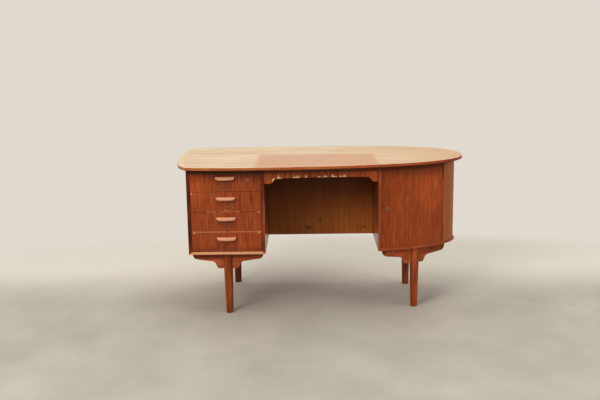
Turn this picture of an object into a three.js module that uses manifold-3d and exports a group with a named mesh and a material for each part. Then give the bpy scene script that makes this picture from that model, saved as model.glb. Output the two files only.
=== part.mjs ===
// Writing desk with a half-egg desktop on two pedestals and four turned legs.
// The left pedestal holds four drawers on side-hung runners. The right one is a cabinet
// with a curved door. A bookcase opens to the back, behind the kneehole panel.
// Millimetres, +X to the right, +Y to the back, +Z up. The origin is on the floor, under
// the middle of the desktop.
import * as THREE from 'three';
import { mergeVertices } from 'three/addons/utils/BufferGeometryUtils.js';
import Module from 'manifold-3d';

const wasm = await Module();
wasm.setup();

// Desktop
const deskWidth = 1420;
const deskDepth = 690;
const deskHeight = 735;
const topThickness = 22;
const lippingWidth = 30;
const edgeBand = 14;
const undercutRun = 22;
const edgeArris = 2;
const bowCrestInset = 350;
const bowDrop = 20;
const noseY = 20;
const backBendInset = 705;
const frontCornerRun = 94;
const frontCornerReach = 235;
const backCornerRadius = 100;
const endBow = 6;
const frontHandleShare = 0.4;
const noseFrontHandleShare = 0.88;
const noseBackHandleShare = 0.66;
const backHandleShare = 0.73;
const backCornerHandleShare = 0.6;
const frontCornerHandleShare = 0.7;
const outlineSteps = [38, 30, 1, 8, 6, 8, 8];

// Case
const caseHeight = 407;
const sideThickness = 16;
const bottomThickness = 11.5;
const bevelDepth = 8;
const topBoardThickness = 16;
const topLipThickness = 4;
const backThickness = 10;
const pedestalWidth = 368;
const leftOverhang = 69;
const frontOverhang = 51;
const backOverhang = 38;
const cabinetWidth = 440;
const kneeholeDepth = 390;
const kneeholePanelThickness = 12;
const shelfThickness = 16;
const shelfSeamClearance = 30;
const bookcaseShelfZ = 512;
const frameOverhang = 30;

// Apron
const apronThickness = 16;
const apronCrownHeight = 39;
const apronShoulderHeight = 44;
const apronEndHeight = 65;
const apronLeftBlockWidth = 27;
const apronRightBlockWidth = 18;
const apronOgeeWidth = 26;
const apronSetback = 4;

// Drawers
const drawerCount = 4;
const drawerJoint = 1.6;
const drawerFrontThickness = 18;
const drawerBackClearance = 38;
const drawerSideThickness = 12;
const drawerSideHeight = 76;
const drawerSideRaise = 6;
const drawerBackThickness = 10;
const drawerBottomThickness = 5;
const drawerBottomRaise = 8;
const grooveDepth = 5;
const runnerGrooveHeight = 12;
const runnerGrooveDepth = 6;
const runnerGrooveRaise = 34;
const runnerStart = 30;
const tailCount = 3;
const tailLength = 11;
const tailRootWidth = 13;
const tailTipWidth = 18;

// Pulls
const pullWidth = 92;
const pullHeight = 17;
const pullProjection = 20;
const pullAboveMiddle = 15;
const pullEndDrawInShare = 0.35;
const pullCurveShare = 0.14;
const pullEndRiseShare = 0.3;
const pullSlantShare = 0.05;
// The section from the drawer's face over the lip and back into the hollow, as shares of
// the projection and of the height
const pullSectionShares = [
  [0, 1], [0.55, 1], [0.9, 0.93], [1, 0.72], [0.98, 0.35], [0.84, 0.06],
  [0.66, 0], [0.55, 0.12], [0.45, 0.42], [0.3, 0.58], [0.12, 0.62], [0, 0.6],
];
const pullSteps = 14;

// Locks
const rimRadius = 9.5;
const rimThickness = 2.4;
const rimSeatDepth = 1.2;
const keyholeRadius = 2.6;
const keyholeSlotWidth = 2.4;
const keyholeSlotLength = 8;
const lockWidth = 36;
const lockHeight = 54;
const lockDepth = 10;
const boltWidth = 14;
const boltThickness = 5;
const boltLength = 24;
const boltThrow = 7;
const boltPocketDepth = 9;
const drawerKeyInset = 64;
const drawerKeyAboveMiddle = 6;
const doorKeyInset = 27;
const doorKeyZ = 514;

// Cabinet with the curved door
const doorThickness = 18;
const doorJoint = 1;
const doorSeamInset = 108;
const shellThickness = 16;
const cabinetShelfZ = 505;
const housingDepth = 5;
const hingeLength = 76;
const hingeInset = 9;
const hingeLeafWidth = 14;
const hingeLeafThickness = 1.8;
const knuckleRadius = 3.4;
const hingePinRadius = 1.5;
const hingePinStandOff = 2.6;
const knuckleCount = 5;


// Legs and brackets
const legTopRadius = 24.5;
const legFootRadius = 17.3;
const legFootArris = 1.5;
const legFrontInset = 49;
const legBackInset = 40;
const rightLegInset = 256;
const rightLegFrontInset = 168;
const rightLegBackInset = 145;
const rightBracketTurn = 22;
const bracketEndInset = 12;
const rightBracketHalfLength = 170;
const rightBracketShift = 5;
const bracketThickness = 18;
const bracketEndHeight = 33;
const bracketShoulderHeight = 44;
const bracketMiddleHeight = 80;
const bracketShoulderX = 84;
const bracketFootX = 44;
const bracketCornerRun = 15;
const bracketCornerRise = 21;
const bracketCornerShare = 0.3;
const bracketShoulderHandleShare = 0.8;
const bracketFootHandleShare = 0.4;

// Gaps and overruns
const glueGap = 0.3;
const runningGap = 1;
const pinClearance = 0.1;
const overrun = 6;
const curveSteps = 8;
const roundSides = 36;
const knuckleSides = 20;
const pinSides = 16;

// Levels and faces that several pieces share
const caseTopZ = deskHeight - topThickness;
const caseBottomZ = caseTopZ - caseHeight;
const floorTopZ = caseBottomZ + bottomThickness;
const pedestalLeftX = leftOverhang - deskWidth / 2;
const pedestalRightX = pedestalLeftX + pedestalWidth;
const pedestalFrontY = frontOverhang - deskDepth / 2;
const cabinetLeftX = deskWidth / 2 - cabinetWidth;
const backY = deskDepth / 2 - backOverhang;
const faceOverhang = frameOverhang + bevelDepth;
const drawerFaceY = pedestalFrontY + bevelDepth;
const drawerLength = backY - backThickness - drawerBackClearance - drawerFaceY;
const drawerTopZ = caseTopZ - topLipThickness;
const kneeholePanelY = pedestalFrontY + kneeholeDepth;
const cabinetInsideX = cabinetLeftX + sideThickness;

const teak = new THREE.MeshStandardMaterial({ color: 0x96462a, roughness: 0.45 });
const fadedTeak = new THREE.MeshStandardMaterial({ color: 0xe1c39b, roughness: 0.5 });
const lippingTeak = new THREE.MeshStandardMaterial({ color: 0xb26836, roughness: 0.45 });
const legTeak = new THREE.MeshStandardMaterial({ color: 0x8c3c20, roughness: 0.45 });
const pullTeak = new THREE.MeshStandardMaterial({ color: 0xdc9673, roughness: 0.4 });
const beech = new THREE.MeshStandardMaterial({ color: 0xd8b98c, roughness: 0.6 });
const brass = new THREE.MeshStandardMaterial({ color: 0xa98b55, roughness: 0.35, metalness: 1 });
const steel = new THREE.MeshStandardMaterial({ color: 0x8a8a86, roughness: 0.4, metalness: 1 });

// Solids from three.js geometry, for cuts and joins
function toSolid(geometry) {
  const bare = geometry.index ? geometry.toNonIndexed() : geometry.clone();
  bare.deleteAttribute('normal');
  bare.deleteAttribute('uv');
  const merged = mergeVertices(bare, 1e-5);
  return new wasm.Manifold(new wasm.Mesh({
    numProp: 3,
    vertProperties: new Float32Array(merged.attributes.position.array),
    triVerts: new Uint32Array(merged.index.array),
  }));
}

function toGeometry(solid) {
  const mesh = solid.getMesh();
  const geometry = new THREE.BufferGeometry();
  geometry.setAttribute('position', new THREE.BufferAttribute(mesh.vertProperties, 3));
  geometry.setIndex(new THREE.BufferAttribute(mesh.triVerts, 1));
  const flat = geometry.toNonIndexed();
  flat.computeVertexNormals();
  return flat;
}

function cut(geometry, ...cutters) {
  let solid = toSolid(geometry);
  for (const cutter of cutters) {
    solid = solid.subtract(toSolid(cutter));
  }
  return toGeometry(solid);
}

function join(...geometries) {
  let solid = toSolid(geometries[0]);
  for (const other of geometries.slice(1)) {
    solid = solid.add(toSolid(other));
  }
  return toGeometry(solid);
}

function common(geometry, other) {
  return toGeometry(toSolid(geometry).intersect(toSolid(other)));
}

// A box between two values on each axis
function block(x, y, z) {
  const geometry = new THREE.BoxGeometry(x[1] - x[0], y[1] - y[0], z[1] - z[0]);
  return geometry.translate((x[0] + x[1]) / 2, (y[0] + y[1]) / 2, (z[0] + z[1]) / 2);
}

// A flat outline in X and Y, raised between two levels
function slab(points, low, high) {
  const shape = new THREE.Shape(points);
  const geometry = new THREE.ExtrudeGeometry(shape, { depth: high - low, bevelEnabled: false });
  return geometry.translate(0, 0, low);
}

// An outline drawn in X and Z, as thick as a board between two values of Y
function upright(shape, front, back) {
  const settings = { depth: back - front, bevelEnabled: false, curveSegments: curveSteps };
  const geometry = new THREE.ExtrudeGeometry(shape, settings);
  geometry.applyMatrix4(new THREE.Matrix4().set(1, 0, 0, 0, 0, 0, -1, 0, 0, 1, 0, 0, 0, 0, 0, 1));
  return geometry.translate(0, back, 0);
}

// An outline drawn in Y and Z, as thick as a board between two values of X
function sideways(shape, left, right) {
  const geometry = new THREE.ExtrudeGeometry(shape, { depth: right - left, bevelEnabled: false });
  geometry.applyMatrix4(new THREE.Matrix4().set(0, 0, 1, 0, 1, 0, 0, 0, 0, 1, 0, 0, 0, 0, 0, 1));
  return geometry.translate(left, 0, 0);
}

function rod(radius, low, high, sides = roundSides) {
  const geometry = new THREE.CylinderGeometry(radius, radius, high - low, sides);
  geometry.rotateX(Math.PI / 2);
  return geometry.translate(0, 0, (low + high) / 2);
}

// Triangles over a grid of points. Each row is a ring, and the rows close on themselves
// when the skin goes round, or else end in caps.
function skin(rows, goesRound, capOutline) {
  const positions = [];
  const across = rows[0].length;
  const spans = goesRound ? rows.length : rows.length - 1;
  const push = (point) => positions.push(point.x, point.y, point.z);
  for (let i = 0; i < spans; i += 1) {
    const row = rows[i];
    const next = rows[(i + 1) % rows.length];
    for (let j = 0; j < across; j += 1) {
      const k = (j + 1) % across;
      [row[j], row[k], next[k], row[j], next[k], next[j]].forEach(push);
    }
  }
  if (!goesRound) {
    for (const [first, second, third] of THREE.ShapeUtils.triangulateShape(capOutline, [])) {
      const start = rows[0];
      const end = rows[rows.length - 1];
      [start[third], start[second], start[first]].forEach(push);
      [end[first], end[second], end[third]].forEach(push);
    }
  }
  const geometry = new THREE.BufferGeometry();
  geometry.setAttribute('position', new THREE.Float32BufferAttribute(positions, 3));
  return facingOut(geometry);
}

// Turns a closed skin inside out when its volume comes out negative
function facingOut(geometry) {
  const position = geometry.attributes.position;
  const corner = [new THREE.Vector3(), new THREE.Vector3(), new THREE.Vector3()];
  let volume = 0;
  for (let i = 0; i < position.count; i += 3) {
    corner.forEach((vector, k) => vector.fromBufferAttribute(position, i + k));
    volume += corner[0].dot(corner[1].clone().cross(corner[2]));
  }
  if (volume < 0) {
    for (let i = 0; i < position.count; i += 3) {
      const swap = [position.getX(i), position.getY(i), position.getZ(i)];
      position.setXYZ(i, position.getX(i + 1), position.getY(i + 1), position.getZ(i + 1));
      position.setXYZ(i + 1, ...swap);
    }
  }
  geometry.computeVertexNormals();
  return geometry;
}

// Where two lines cross, each given by a point and a direction
function crossing(point, along, other, otherAlong) {
  const reach = other.clone().sub(point).cross(otherAlong) / along.cross(otherAlong);
  return point.clone().addScaledVector(along, reach);
}

// A rounded corner that leaves and meets its neighbours in their own directions
function roundCorner(path, from, apex, to, handleShare) {
  const first = from.clone().lerp(apex, handleShare);
  const second = to.clone().lerp(apex, handleShare);
  path.bezierCurveTo(first.x, first.y, second.x, second.y, to.x, to.y);
}

// The desktop's outline: from the crest of the bowed front to the nose, to the straight
// back, round the slightly bowed left end and back to the crest
function desktopOutline() {
  const left = -deskWidth / 2;
  const right = deskWidth / 2;
  const front = -deskDepth / 2;
  const back = deskDepth / 2;
  const bowCrestX = left + bowCrestInset;
  const backBendX = right - backBendInset;
  const path = new THREE.Shape();
  path.moveTo(bowCrestX, front);
  path.bezierCurveTo(
    bowCrestX + frontHandleShare * (right - bowCrestX), front,
    right, noseY - noseFrontHandleShare * (noseY - front),
    right, noseY,
  );
  path.bezierCurveTo(
    right, noseY + noseBackHandleShare * (back - noseY),
    backBendX + backHandleShare * (right - backBendX), back,
    backBendX, back,
  );
  const backStart = new THREE.Vector2(left + backCornerRadius, back);
  const endTop = new THREE.Vector2(left + endBow, back - backCornerRadius);
  const endFoot = new THREE.Vector2(left + endBow, front + bowDrop + frontCornerReach);
  const frontEnd = new THREE.Vector2(left + frontCornerRun, front + bowDrop);
  const endMiddle = new THREE.Vector2(left - endBow, (endTop.y + endFoot.y) / 2);
  const bowMiddle = new THREE.Vector2((frontEnd.x + bowCrestX) / 2, front);
  const level = new THREE.Vector2(1, 0);
  path.lineTo(backStart.x, backStart.y);
  const leave = endTop.clone().sub(endMiddle);
  roundCorner(path, backStart, crossing(backStart, level, endTop, leave), endTop, backCornerHandleShare);
  path.quadraticCurveTo(endMiddle.x, endMiddle.y, endFoot.x, endFoot.y);
  const arrive = endFoot.clone().sub(endMiddle);
  const bow = frontEnd.clone().sub(bowMiddle);
  roundCorner(path, endFoot, crossing(endFoot, arrive, frontEnd, bow), frontEnd, frontCornerHandleShare);
  path.quadraticCurveTo(bowMiddle.x, bowMiddle.y, bowCrestX, front);
  return path.curves.flatMap((curve, i) => curve.getPoints(outlineSteps[i]).slice(1));
}

const outline = desktopOutline();
const outwards = outline.map((point, i) => {
  const before = outline[(i + outline.length - 1) % outline.length];
  const after = outline[(i + 1) % outline.length];
  const first = point.clone().sub(before).normalize();
  const second = after.clone().sub(point).normalize();
  const middle = first.clone().add(second).normalize();
  const normal = new THREE.Vector2(middle.y, -middle.x);
  return normal.divideScalar(Math.max(middle.dot(first), 0.5));
});

// The outline moved inwards by one distance
function inset(distance) {
  return outline.map((point, i) => point.clone().addScaledVector(outwards[i], -distance));
}

// A point on an inset outline at a fractional index
function pointAt(points, place) {
  const index = Math.floor(place);
  return points[index % points.length].clone().lerp(points[(index + 1) % points.length], place - index);
}

// The fractional index where the front or the back of an outline passes a value of X
function placeOfX(points, x, atBack) {
  for (let i = 0; i < points.length; i += 1) {
    const from = points[i];
    const to = points[(i + 1) % points.length];
    const passes = atBack ? from.x >= x && to.x < x : from.x < x && to.x >= x;
    if (passes && from.y > 0 === atBack) {
      return i + (x - from.x) / (to.x - from.x);
    }
  }
  throw new Error('The outline does not reach X ' + x);
}

function yAtX(distance, x, atBack) {
  const points = inset(distance);
  return pointAt(points, placeOfX(points, x, atBack)).y;
}

// The points of an outline between two fractional indices
function stretch(points, from, to) {
  const result = [pointAt(points, from)];
  for (let i = Math.floor(from) + 1; i < to; i += 1) {
    result.push(points[i % points.length].clone());
  }
  result.push(pointAt(points, to));
  return result;
}

// The plan of whatever fills the cabinet to the right of one value of X
function cabinetPlan(distance, x) {
  const points = inset(distance);
  return stretch(points, placeOfX(points, x, false), placeOfX(points, x, true));
}

// The seam at the door's hinges, as an index on the outline
const seamPlace = placeOfX(inset(faceOverhang), deskWidth / 2 - doorSeamInset, false);
const seamPoint = pointAt(inset(faceOverhang), seamPlace);
const seamInner = pointAt(inset(faceOverhang + doorThickness), seamPlace);
const seamNormal = seamPoint.clone().sub(seamInner).normalize();
const stepLength = pointAt(inset(faceOverhang), Math.floor(seamPlace))
  .distanceTo(pointAt(inset(faceOverhang), Math.floor(seamPlace) + 1));
const halfSeam = doorJoint / 2 / stepLength;

const desk = new THREE.Group();

function add(name, geometry, material, parent = desk) {
  const mesh = new THREE.Mesh(geometry, material);
  mesh.name = name;
  parent.add(mesh);
  return mesh;
}

// Desktop: a panel inside a solid lipping that is undercut below
function makeDesktop() {
  const pocket = drawerBoltBlock(boltThrow + glueGap, glueGap);
  const panel = slab(inset(lippingWidth + glueGap), caseTopZ, deskHeight);
  add('desktop_panel', cut(panel, pocket), fadedTeak);
  const section = [
    [edgeArris, deskHeight],
    [0, deskHeight - edgeArris],
    [0, deskHeight - edgeBand],
    [undercutRun, caseTopZ],
    [lippingWidth, caseTopZ],
    [lippingWidth, deskHeight],
  ];
  const rows = section.map(([distance, z]) => (
    inset(distance).map((point) => new THREE.Vector3(point.x, point.y, z))
  ));
  add('desktop_lipping', skin(rows, true), lippingTeak);
}

// The space in front of a frame's bevelled edges: a funnel that narrows by one board's
// thickness over the depth of the bevel
function bevelFunnel(outer, inner, front) {
  const spread = (overrun + bevelDepth) / bevelDepth;
  const ring = (rect, y) => [
    new THREE.Vector3(rect.x[0], y, rect.z[0]),
    new THREE.Vector3(rect.x[1], y, rect.z[0]),
    new THREE.Vector3(rect.x[1], y, rect.z[1]),
    new THREE.Vector3(rect.x[0], y, rect.z[1]),
  ];
  const back = ring(inner, front + bevelDepth);
  const mouth = ring(outer, front).map((corner, i) => back[i].clone().lerp(corner, spread));
  const cap = [[0, 0], [1, 0], [1, 1], [0, 1]].map(([x, y]) => new THREE.Vector2(x, y));
  return skin([mouth, back], false, cap);
}

// The space of a bottom board whose ends are mitred into upright sides: as wide as the
// case at its lower face, and narrower by a side's thickness at each end of its upper face
function mitredBottom(left, right, room) {
  const beyond = overrun * sideThickness / bottomThickness + room;
  const shape = new THREE.Shape([
    new THREE.Vector2(left - beyond, caseBottomZ - overrun),
    new THREE.Vector2(right + beyond, caseBottomZ - overrun),
    new THREE.Vector2(right + room - sideThickness, floorTopZ),
    new THREE.Vector2(left - room + sideThickness, floorTopZ),
  ]);
  return upright(shape, -deskDepth, deskDepth);
}

// The lower edge of a drawer's front, counted from the top one
function drawerBottomZ(index) {
  const pitch = (drawerTopZ - floorTopZ) / drawerCount;
  return drawerTopZ - pitch * (index + 1) + drawerJoint / 2;
}

function runner(index, wallX, towards) {
  const top = drawerBottomZ(index) + runnerGrooveRaise + runnerGrooveHeight - glueGap;
  const bottom = top - runnerGrooveHeight + runningGap;
  const reach = towards * (runningGap + runnerGrooveDepth - glueGap);
  const sink = -towards * sideThickness / 2;
  const x = [wallX + sink, wallX + reach].sort((a, b) => a - b);
  const y = [drawerFaceY + drawerFrontThickness + runnerStart, drawerFaceY + drawerLength];
  return block(x, y, [bottom, top]);
}

function makeLeftPedestal() {
  const insideLeft = pedestalLeftX + sideThickness;
  const insideRight = pedestalRightX - sideThickness;
  const funnel = bevelFunnel(
    { x: [pedestalLeftX, pedestalRightX], z: [caseBottomZ, caseTopZ] },
    { x: [insideLeft, insideRight], z: [floorTopZ, drawerTopZ] },
    pedestalFrontY,
  );
  const y = [pedestalFrontY, backY];
  const sideZ = [caseBottomZ, caseTopZ - glueGap];
  const indices = [...Array(drawerCount).keys()];
  const mitre = mitredBottom(pedestalLeftX, pedestalRightX, 0);
  const outer = cut(block([pedestalLeftX, insideLeft], y, sideZ), funnel, mitre);
  add('left_outer_side', join(outer, ...indices.map((i) => runner(i, insideLeft, 1))), teak);
  const inner = cut(block([insideRight, pedestalRightX], y, sideZ), funnel, mitre);
  add('left_inner_side', join(inner, ...indices.map((i) => runner(i, insideRight, -1))), teak);
  const between = [insideLeft + glueGap, insideRight - glueGap];
  const bottom = block([pedestalLeftX, pedestalRightX], y, [caseBottomZ, floorTopZ]);
  const mitred = common(bottom, mitredBottom(pedestalLeftX, pedestalRightX, -glueGap));
  add('left_bottom', cut(mitred, funnel), teak);
  const backPanelY = [backY - backThickness, backY];
  add('left_back', block(between, backPanelY, [floorTopZ + glueGap, caseTopZ - glueGap]), teak);
  const boardY = [drawerFaceY + drawerFrontThickness + runningGap, backY - backThickness - glueGap];
  const board = block(between, boardY, [caseTopZ - topBoardThickness, caseTopZ - glueGap]);
  const lipY = [pedestalFrontY, boardY[0] + overrun];
  const lip = cut(block(between, lipY, [drawerTopZ, caseTopZ - glueGap]), funnel);
  const slot = drawerBoltBlock(boltThrow + glueGap, glueGap);
  add('left_top_board', cut(join(board, lip), slot), teak);
}

// The space of the top drawer's bolt when it has risen by one amount, with room round it
function drawerBoltBlock(rise, room) {
  const x = pedestalRightX - sideThickness - drawerKeyInset;
  const top = drawerBottomZ(0) + drawerFrontHeight() - runningGap + rise;
  const y = drawerFaceY + drawerFrontThickness - lockDepth / 2;
  return block(
    [x - boltWidth / 2 - room, x + boltWidth / 2 + room],
    [y - boltThickness / 2 - room, y + boltThickness / 2 + room],
    [top - boltLength, top],
  );
}

function drawerFrontHeight() {
  return (drawerTopZ - floorTopZ) / drawerCount - drawerJoint;
}

function drawerFrontWidth() {
  return pedestalWidth - 2 * sideThickness - 2 * runningGap;
}

// A keyhole pointing along Y: a round eye over a slot, between two values of Y
function keyhole(x, z, front, back, room) {
  const eye = new THREE.CylinderGeometry(keyholeRadius + room, keyholeRadius + room, back - front, pinSides);
  eye.translate(x, (front + back) / 2, z);
  const half = keyholeSlotWidth / 2 + room;
  return join(eye, block([x - half, x + half], [front, back], [z - keyholeSlotLength, z]));
}

// A turned rim round a keyhole, sunk a little into the wood
function makeRim(name, parent) {
  const disc = new THREE.CylinderGeometry(rimRadius, rimRadius, rimThickness, roundSides);
  disc.translate(0, rimSeatDepth - rimThickness / 2, 0);
  const front = rimSeatDepth - rimThickness - overrun;
  add(name, cut(disc, keyhole(0, 0, front, rimSeatDepth + overrun, 0)), brass, parent);
}

function rimSeat() {
  const radius = rimRadius + glueGap;
  const seat = new THREE.CylinderGeometry(radius, radius, overrun + rimSeatDepth + glueGap, roundSides);
  return seat.translate(0, (rimSeatDepth + glueGap - overrun) / 2, 0);
}

// A carved lip pull: a straight upper edge, slanting ends and a hollow for the fingers
function pull() {
  const rows = [];
  for (let i = 0; i <= pullSteps; i += 1) {
    const along = Math.sin((i / pullSteps - 1 / 2) * Math.PI);
    const side = Math.abs(along);
    const reach = pullProjection * (1 - pullEndDrawInShare * side ** 4);
    const drop = pullHeight * (1 - pullCurveShare * side ** 2 - pullEndRiseShare * side ** 12);
    rows.push(pullSectionShares.map(([shareOut, shareUp]) => new THREE.Vector3(
      along * pullWidth / 2 * (1 - pullSlantShare * (1 - shareUp)),
      -reach * shareOut,
      pullHeight / 2 - drop * (1 - shareUp),
    )));
  }
  const cap = rows[0].map((point) => new THREE.Vector2(point.y, point.z));
  return skin(rows, false, cap);
}

// The dovetails between a drawer's side and its front, drawn in Y and Z
function tails(room) {
  const pitch = drawerSideHeight / tailCount;
  const tip = drawerFrontThickness - tailLength - room;
  const root = drawerFrontThickness + glueGap + room;
  return [...Array(tailCount).keys()].map((i) => {
    const z = drawerSideRaise + pitch * (i + 0.5);
    return new THREE.Shape([
      new THREE.Vector2(tip, z - tailTipWidth / 2 - room),
      new THREE.Vector2(root, z - tailRootWidth / 2 - room),
      new THREE.Vector2(root + overrun, z - tailRootWidth / 2 - room),
      new THREE.Vector2(root + overrun, z + tailRootWidth / 2 + room),
      new THREE.Vector2(root, z + tailRootWidth / 2 + room),
      new THREE.Vector2(tip, z + tailTipWidth / 2 + room),
    ]);
  });
}

function makeDrawer(index) {
  const drawer = new THREE.Group();
  drawer.position.set(pedestalLeftX + pedestalWidth / 2, drawerFaceY, drawerBottomZ(index));
  desk.add(drawer);
  const name = (piece) => 'drawer_' + (index + 1) + '_' + piece;
  const half = drawerFrontWidth() / 2;
  const innerX = half - drawerSideThickness;
  const sideZ = [drawerSideRaise, drawerSideRaise + drawerSideHeight];
  const bottomZ = drawerSideRaise + drawerBottomRaise;
  const bottomTop = bottomZ + drawerBottomThickness;
  const groove = [bottomZ - glueGap, bottomTop + glueGap];
  const grooveX = innerX + grooveDepth;
  const cutters = [block(
    [-grooveX - glueGap, grooveX + glueGap],
    [drawerFrontThickness - grooveDepth, drawerFrontThickness + overrun],
    groove,
  )];
  for (const side of [-1, 1]) {
    const span = [side * (innerX - glueGap), side * (half + overrun)].sort((a, b) => a - b);
    cutters.push(...tails(glueGap).map((shape) => sideways(shape, ...span)));
  }
  const front = block([-half, half], [0, drawerFrontThickness], [0, drawerFrontHeight()]);
  if (index === 0) {
    cutters.push(...makeDrawerLock(drawer));
  }
  add(name('front'), cut(front, ...cutters), teak, drawer);
  for (const [side, label] of [[-1, 'left_side'], [1, 'right_side']]) {
    const span = [side * innerX, side * half].sort((a, b) => a - b);
    const board = block(span, [drawerFrontThickness + glueGap, drawerLength], sideZ);
    const fingers = tails(0).map((shape) => sideways(shape, ...span));
    const runnerX = [side * (half - runnerGrooveDepth), side * (half + overrun)].sort((a, b) => a - b);
    const runnerY = [drawerFrontThickness + runnerStart - runningGap, drawerLength + overrun];
    const runnerZ = [runnerGrooveRaise, runnerGrooveRaise + runnerGrooveHeight];
    const bottomX = [side * (innerX - overrun), side * (grooveX + glueGap)].sort((a, b) => a - b);
    const piece = cut(
      join(board, ...fingers),
      block(runnerX, runnerY, runnerZ),
      block(bottomX, [0, drawerLength + overrun], groove),
    );
    add(name(label), piece, beech, drawer);
  }
  const inside = innerX - glueGap;
  const backY0 = drawerLength - drawerBackThickness;
  add(name('back'), block([-inside, inside], [backY0, drawerLength], [bottomTop + glueGap, sideZ[1]]),
    beech, drawer);
  const bottomY = [drawerFrontThickness - grooveDepth + glueGap, drawerLength];
  add(name('bottom'), block([-grooveX, grooveX], bottomY, [bottomZ, bottomTop]), beech, drawer);
  const handle = add(name('pull'), pull(), pullTeak, drawer);
  handle.position.set(0, -glueGap, drawerFrontHeight() / 2 + pullAboveMiddle);
}

// The top drawer's lock, in the drawer's own frame. Returns what it takes out of the front.
function makeDrawerLock(drawer) {
  const x = drawerFrontWidth() / 2 + runningGap - drawerKeyInset;
  const keyZ = drawerFrontHeight() / 2 + drawerKeyAboveMiddle;
  const top = drawerFrontHeight();
  const lockY = [drawerFrontThickness - lockDepth, drawerFrontThickness - glueGap];
  const lockX = [x - lockWidth / 2, x + lockWidth / 2];
  const body = block(lockX, lockY, [top - lockHeight, top - runningGap]);
  const offset = new THREE.Vector3(...drawer.position.toArray()).negate();
  const bolt = drawerBoltBlock(0, 0).translate(...offset.toArray());
  const channel = drawerBoltBlock(boltThrow + overrun, glueGap).translate(...offset.toArray());
  const stroke = drawerBoltBlock(0, glueGap).translate(0, 0, -glueGap).translate(...offset.toArray());
  const key = keyhole(x, keyZ, -overrun, drawerFrontThickness - lockDepth / 2, glueGap);
  add('drawer_lock', cut(body, join(channel, stroke), key), steel, drawer);
  add('drawer_lock_bolt', bolt, brass, drawer);
  const rim = new THREE.Group();
  rim.position.set(x, 0, keyZ);
  drawer.add(rim);
  makeRim('drawer_keyhole_rim', rim);
  const pocket = block(
    [lockX[0] - glueGap, lockX[1] + glueGap],
    [lockY[0] - glueGap, drawerFrontThickness + overrun],
    [top - lockHeight - glueGap, top + overrun],
  );
  return [pocket, key, rimSeat().translate(x, 0, keyZ)];
}

// The kneehole's apron: square blocks at the ends, an ogee, and a shallow arch between
function makeApron() {
  const left = pedestalRightX + glueGap;
  const right = cabinetLeftX - glueGap;
  const top = caseTopZ - glueGap;
  const shape = new THREE.Shape();
  const blockLow = top - apronEndHeight;
  const shoulder = top - apronShoulderHeight;
  const crown = top - apronCrownHeight;
  const middle = (left + right) / 2;
  const swing = apronOgeeWidth / 2;
  const dip = (shoulder - blockLow) / 2;
  shape.moveTo(left, top);
  shape.lineTo(left, blockLow);
  shape.lineTo(left + apronLeftBlockWidth, blockLow);
  shape.bezierCurveTo(
    left + apronLeftBlockWidth + swing, blockLow,
    left + apronLeftBlockWidth + swing, blockLow + dip,
    left + apronLeftBlockWidth + apronOgeeWidth, shoulder,
  );
  shape.quadraticCurveTo(left + apronLeftBlockWidth + 2 * apronOgeeWidth, crown, middle, crown);
  shape.quadraticCurveTo(
    right - apronRightBlockWidth - 2 * apronOgeeWidth, crown,
    right - apronRightBlockWidth - apronOgeeWidth, shoulder,
  );
  shape.bezierCurveTo(
    right - apronRightBlockWidth - swing, blockLow + dip,
    right - apronRightBlockWidth - swing, blockLow,
    right - apronRightBlockWidth, blockLow,
  );
  shape.lineTo(right, blockLow);
  shape.lineTo(right, top);
  const startY = pedestalFrontY + apronSetback;
  const endY = yAtX(frameOverhang, cabinetLeftX, false) + apronSetback;
  const slant = (endY - startY) / (right - left);
  const geometry = upright(shape, startY, startY + apronThickness);
  geometry.applyMatrix4(new THREE.Matrix4().set(
    1, 0, 0, 0,
    slant, 1, 0, -slant * left,
    0, 0, 1, 0,
    0, 0, 0, 1,
  ));
  geometry.computeVertexNormals();
  add('kneehole_apron', geometry, teak);
}

function makeKneeholeAndBookcase() {
  const x = [pedestalRightX + glueGap, cabinetLeftX - glueGap];
  const panelBackY = kneeholePanelY + kneeholePanelThickness;
  const high = caseTopZ - glueGap;
  add('kneehole_panel', block(x, [kneeholePanelY, panelBackY], [caseBottomZ, high]), teak);
  const points = inset(backOverhang);
  const rear = stretch(points, placeOfX(points, x[1], true), placeOfX(points, x[0], true));
  const start = panelBackY + glueGap;
  const plan = [new THREE.Vector2(x[0], start), new THREE.Vector2(x[1], start), ...rear];
  add('bookcase_bottom', slab(plan, caseBottomZ, caseBottomZ + shelfThickness), teak);
  add('bookcase_shelf', slab(plan, bookcaseShelfZ, bookcaseShelfZ + shelfThickness), teak);
}

// The cabinet's shelf, and the housing that holds it in the side and the shell
function shelfPlan(room) {
  const distance = faceOverhang + doorThickness + 2 * runningGap;
  const plan = cabinetPlan(distance, cabinetInsideX);
  const shellFace = inset(faceOverhang + shellThickness - housingDepth - room);
  const from = seamPlace + shelfSeamClearance / stepLength;
  const to = placeOfX(shellFace, cabinetInsideX, true);
  const start = placeOfX(inset(distance), cabinetInsideX, false);
  const door = stretch(inset(distance), start, from);
  const rear = stretch(shellFace, from, to);
  const left = cabinetInsideX - housingDepth - room;
  return [
    new THREE.Vector2(left, plan[0].y - room),
    ...door, ...rear,
    new THREE.Vector2(left, rear[rear.length - 1].y),
  ];
}

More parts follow.
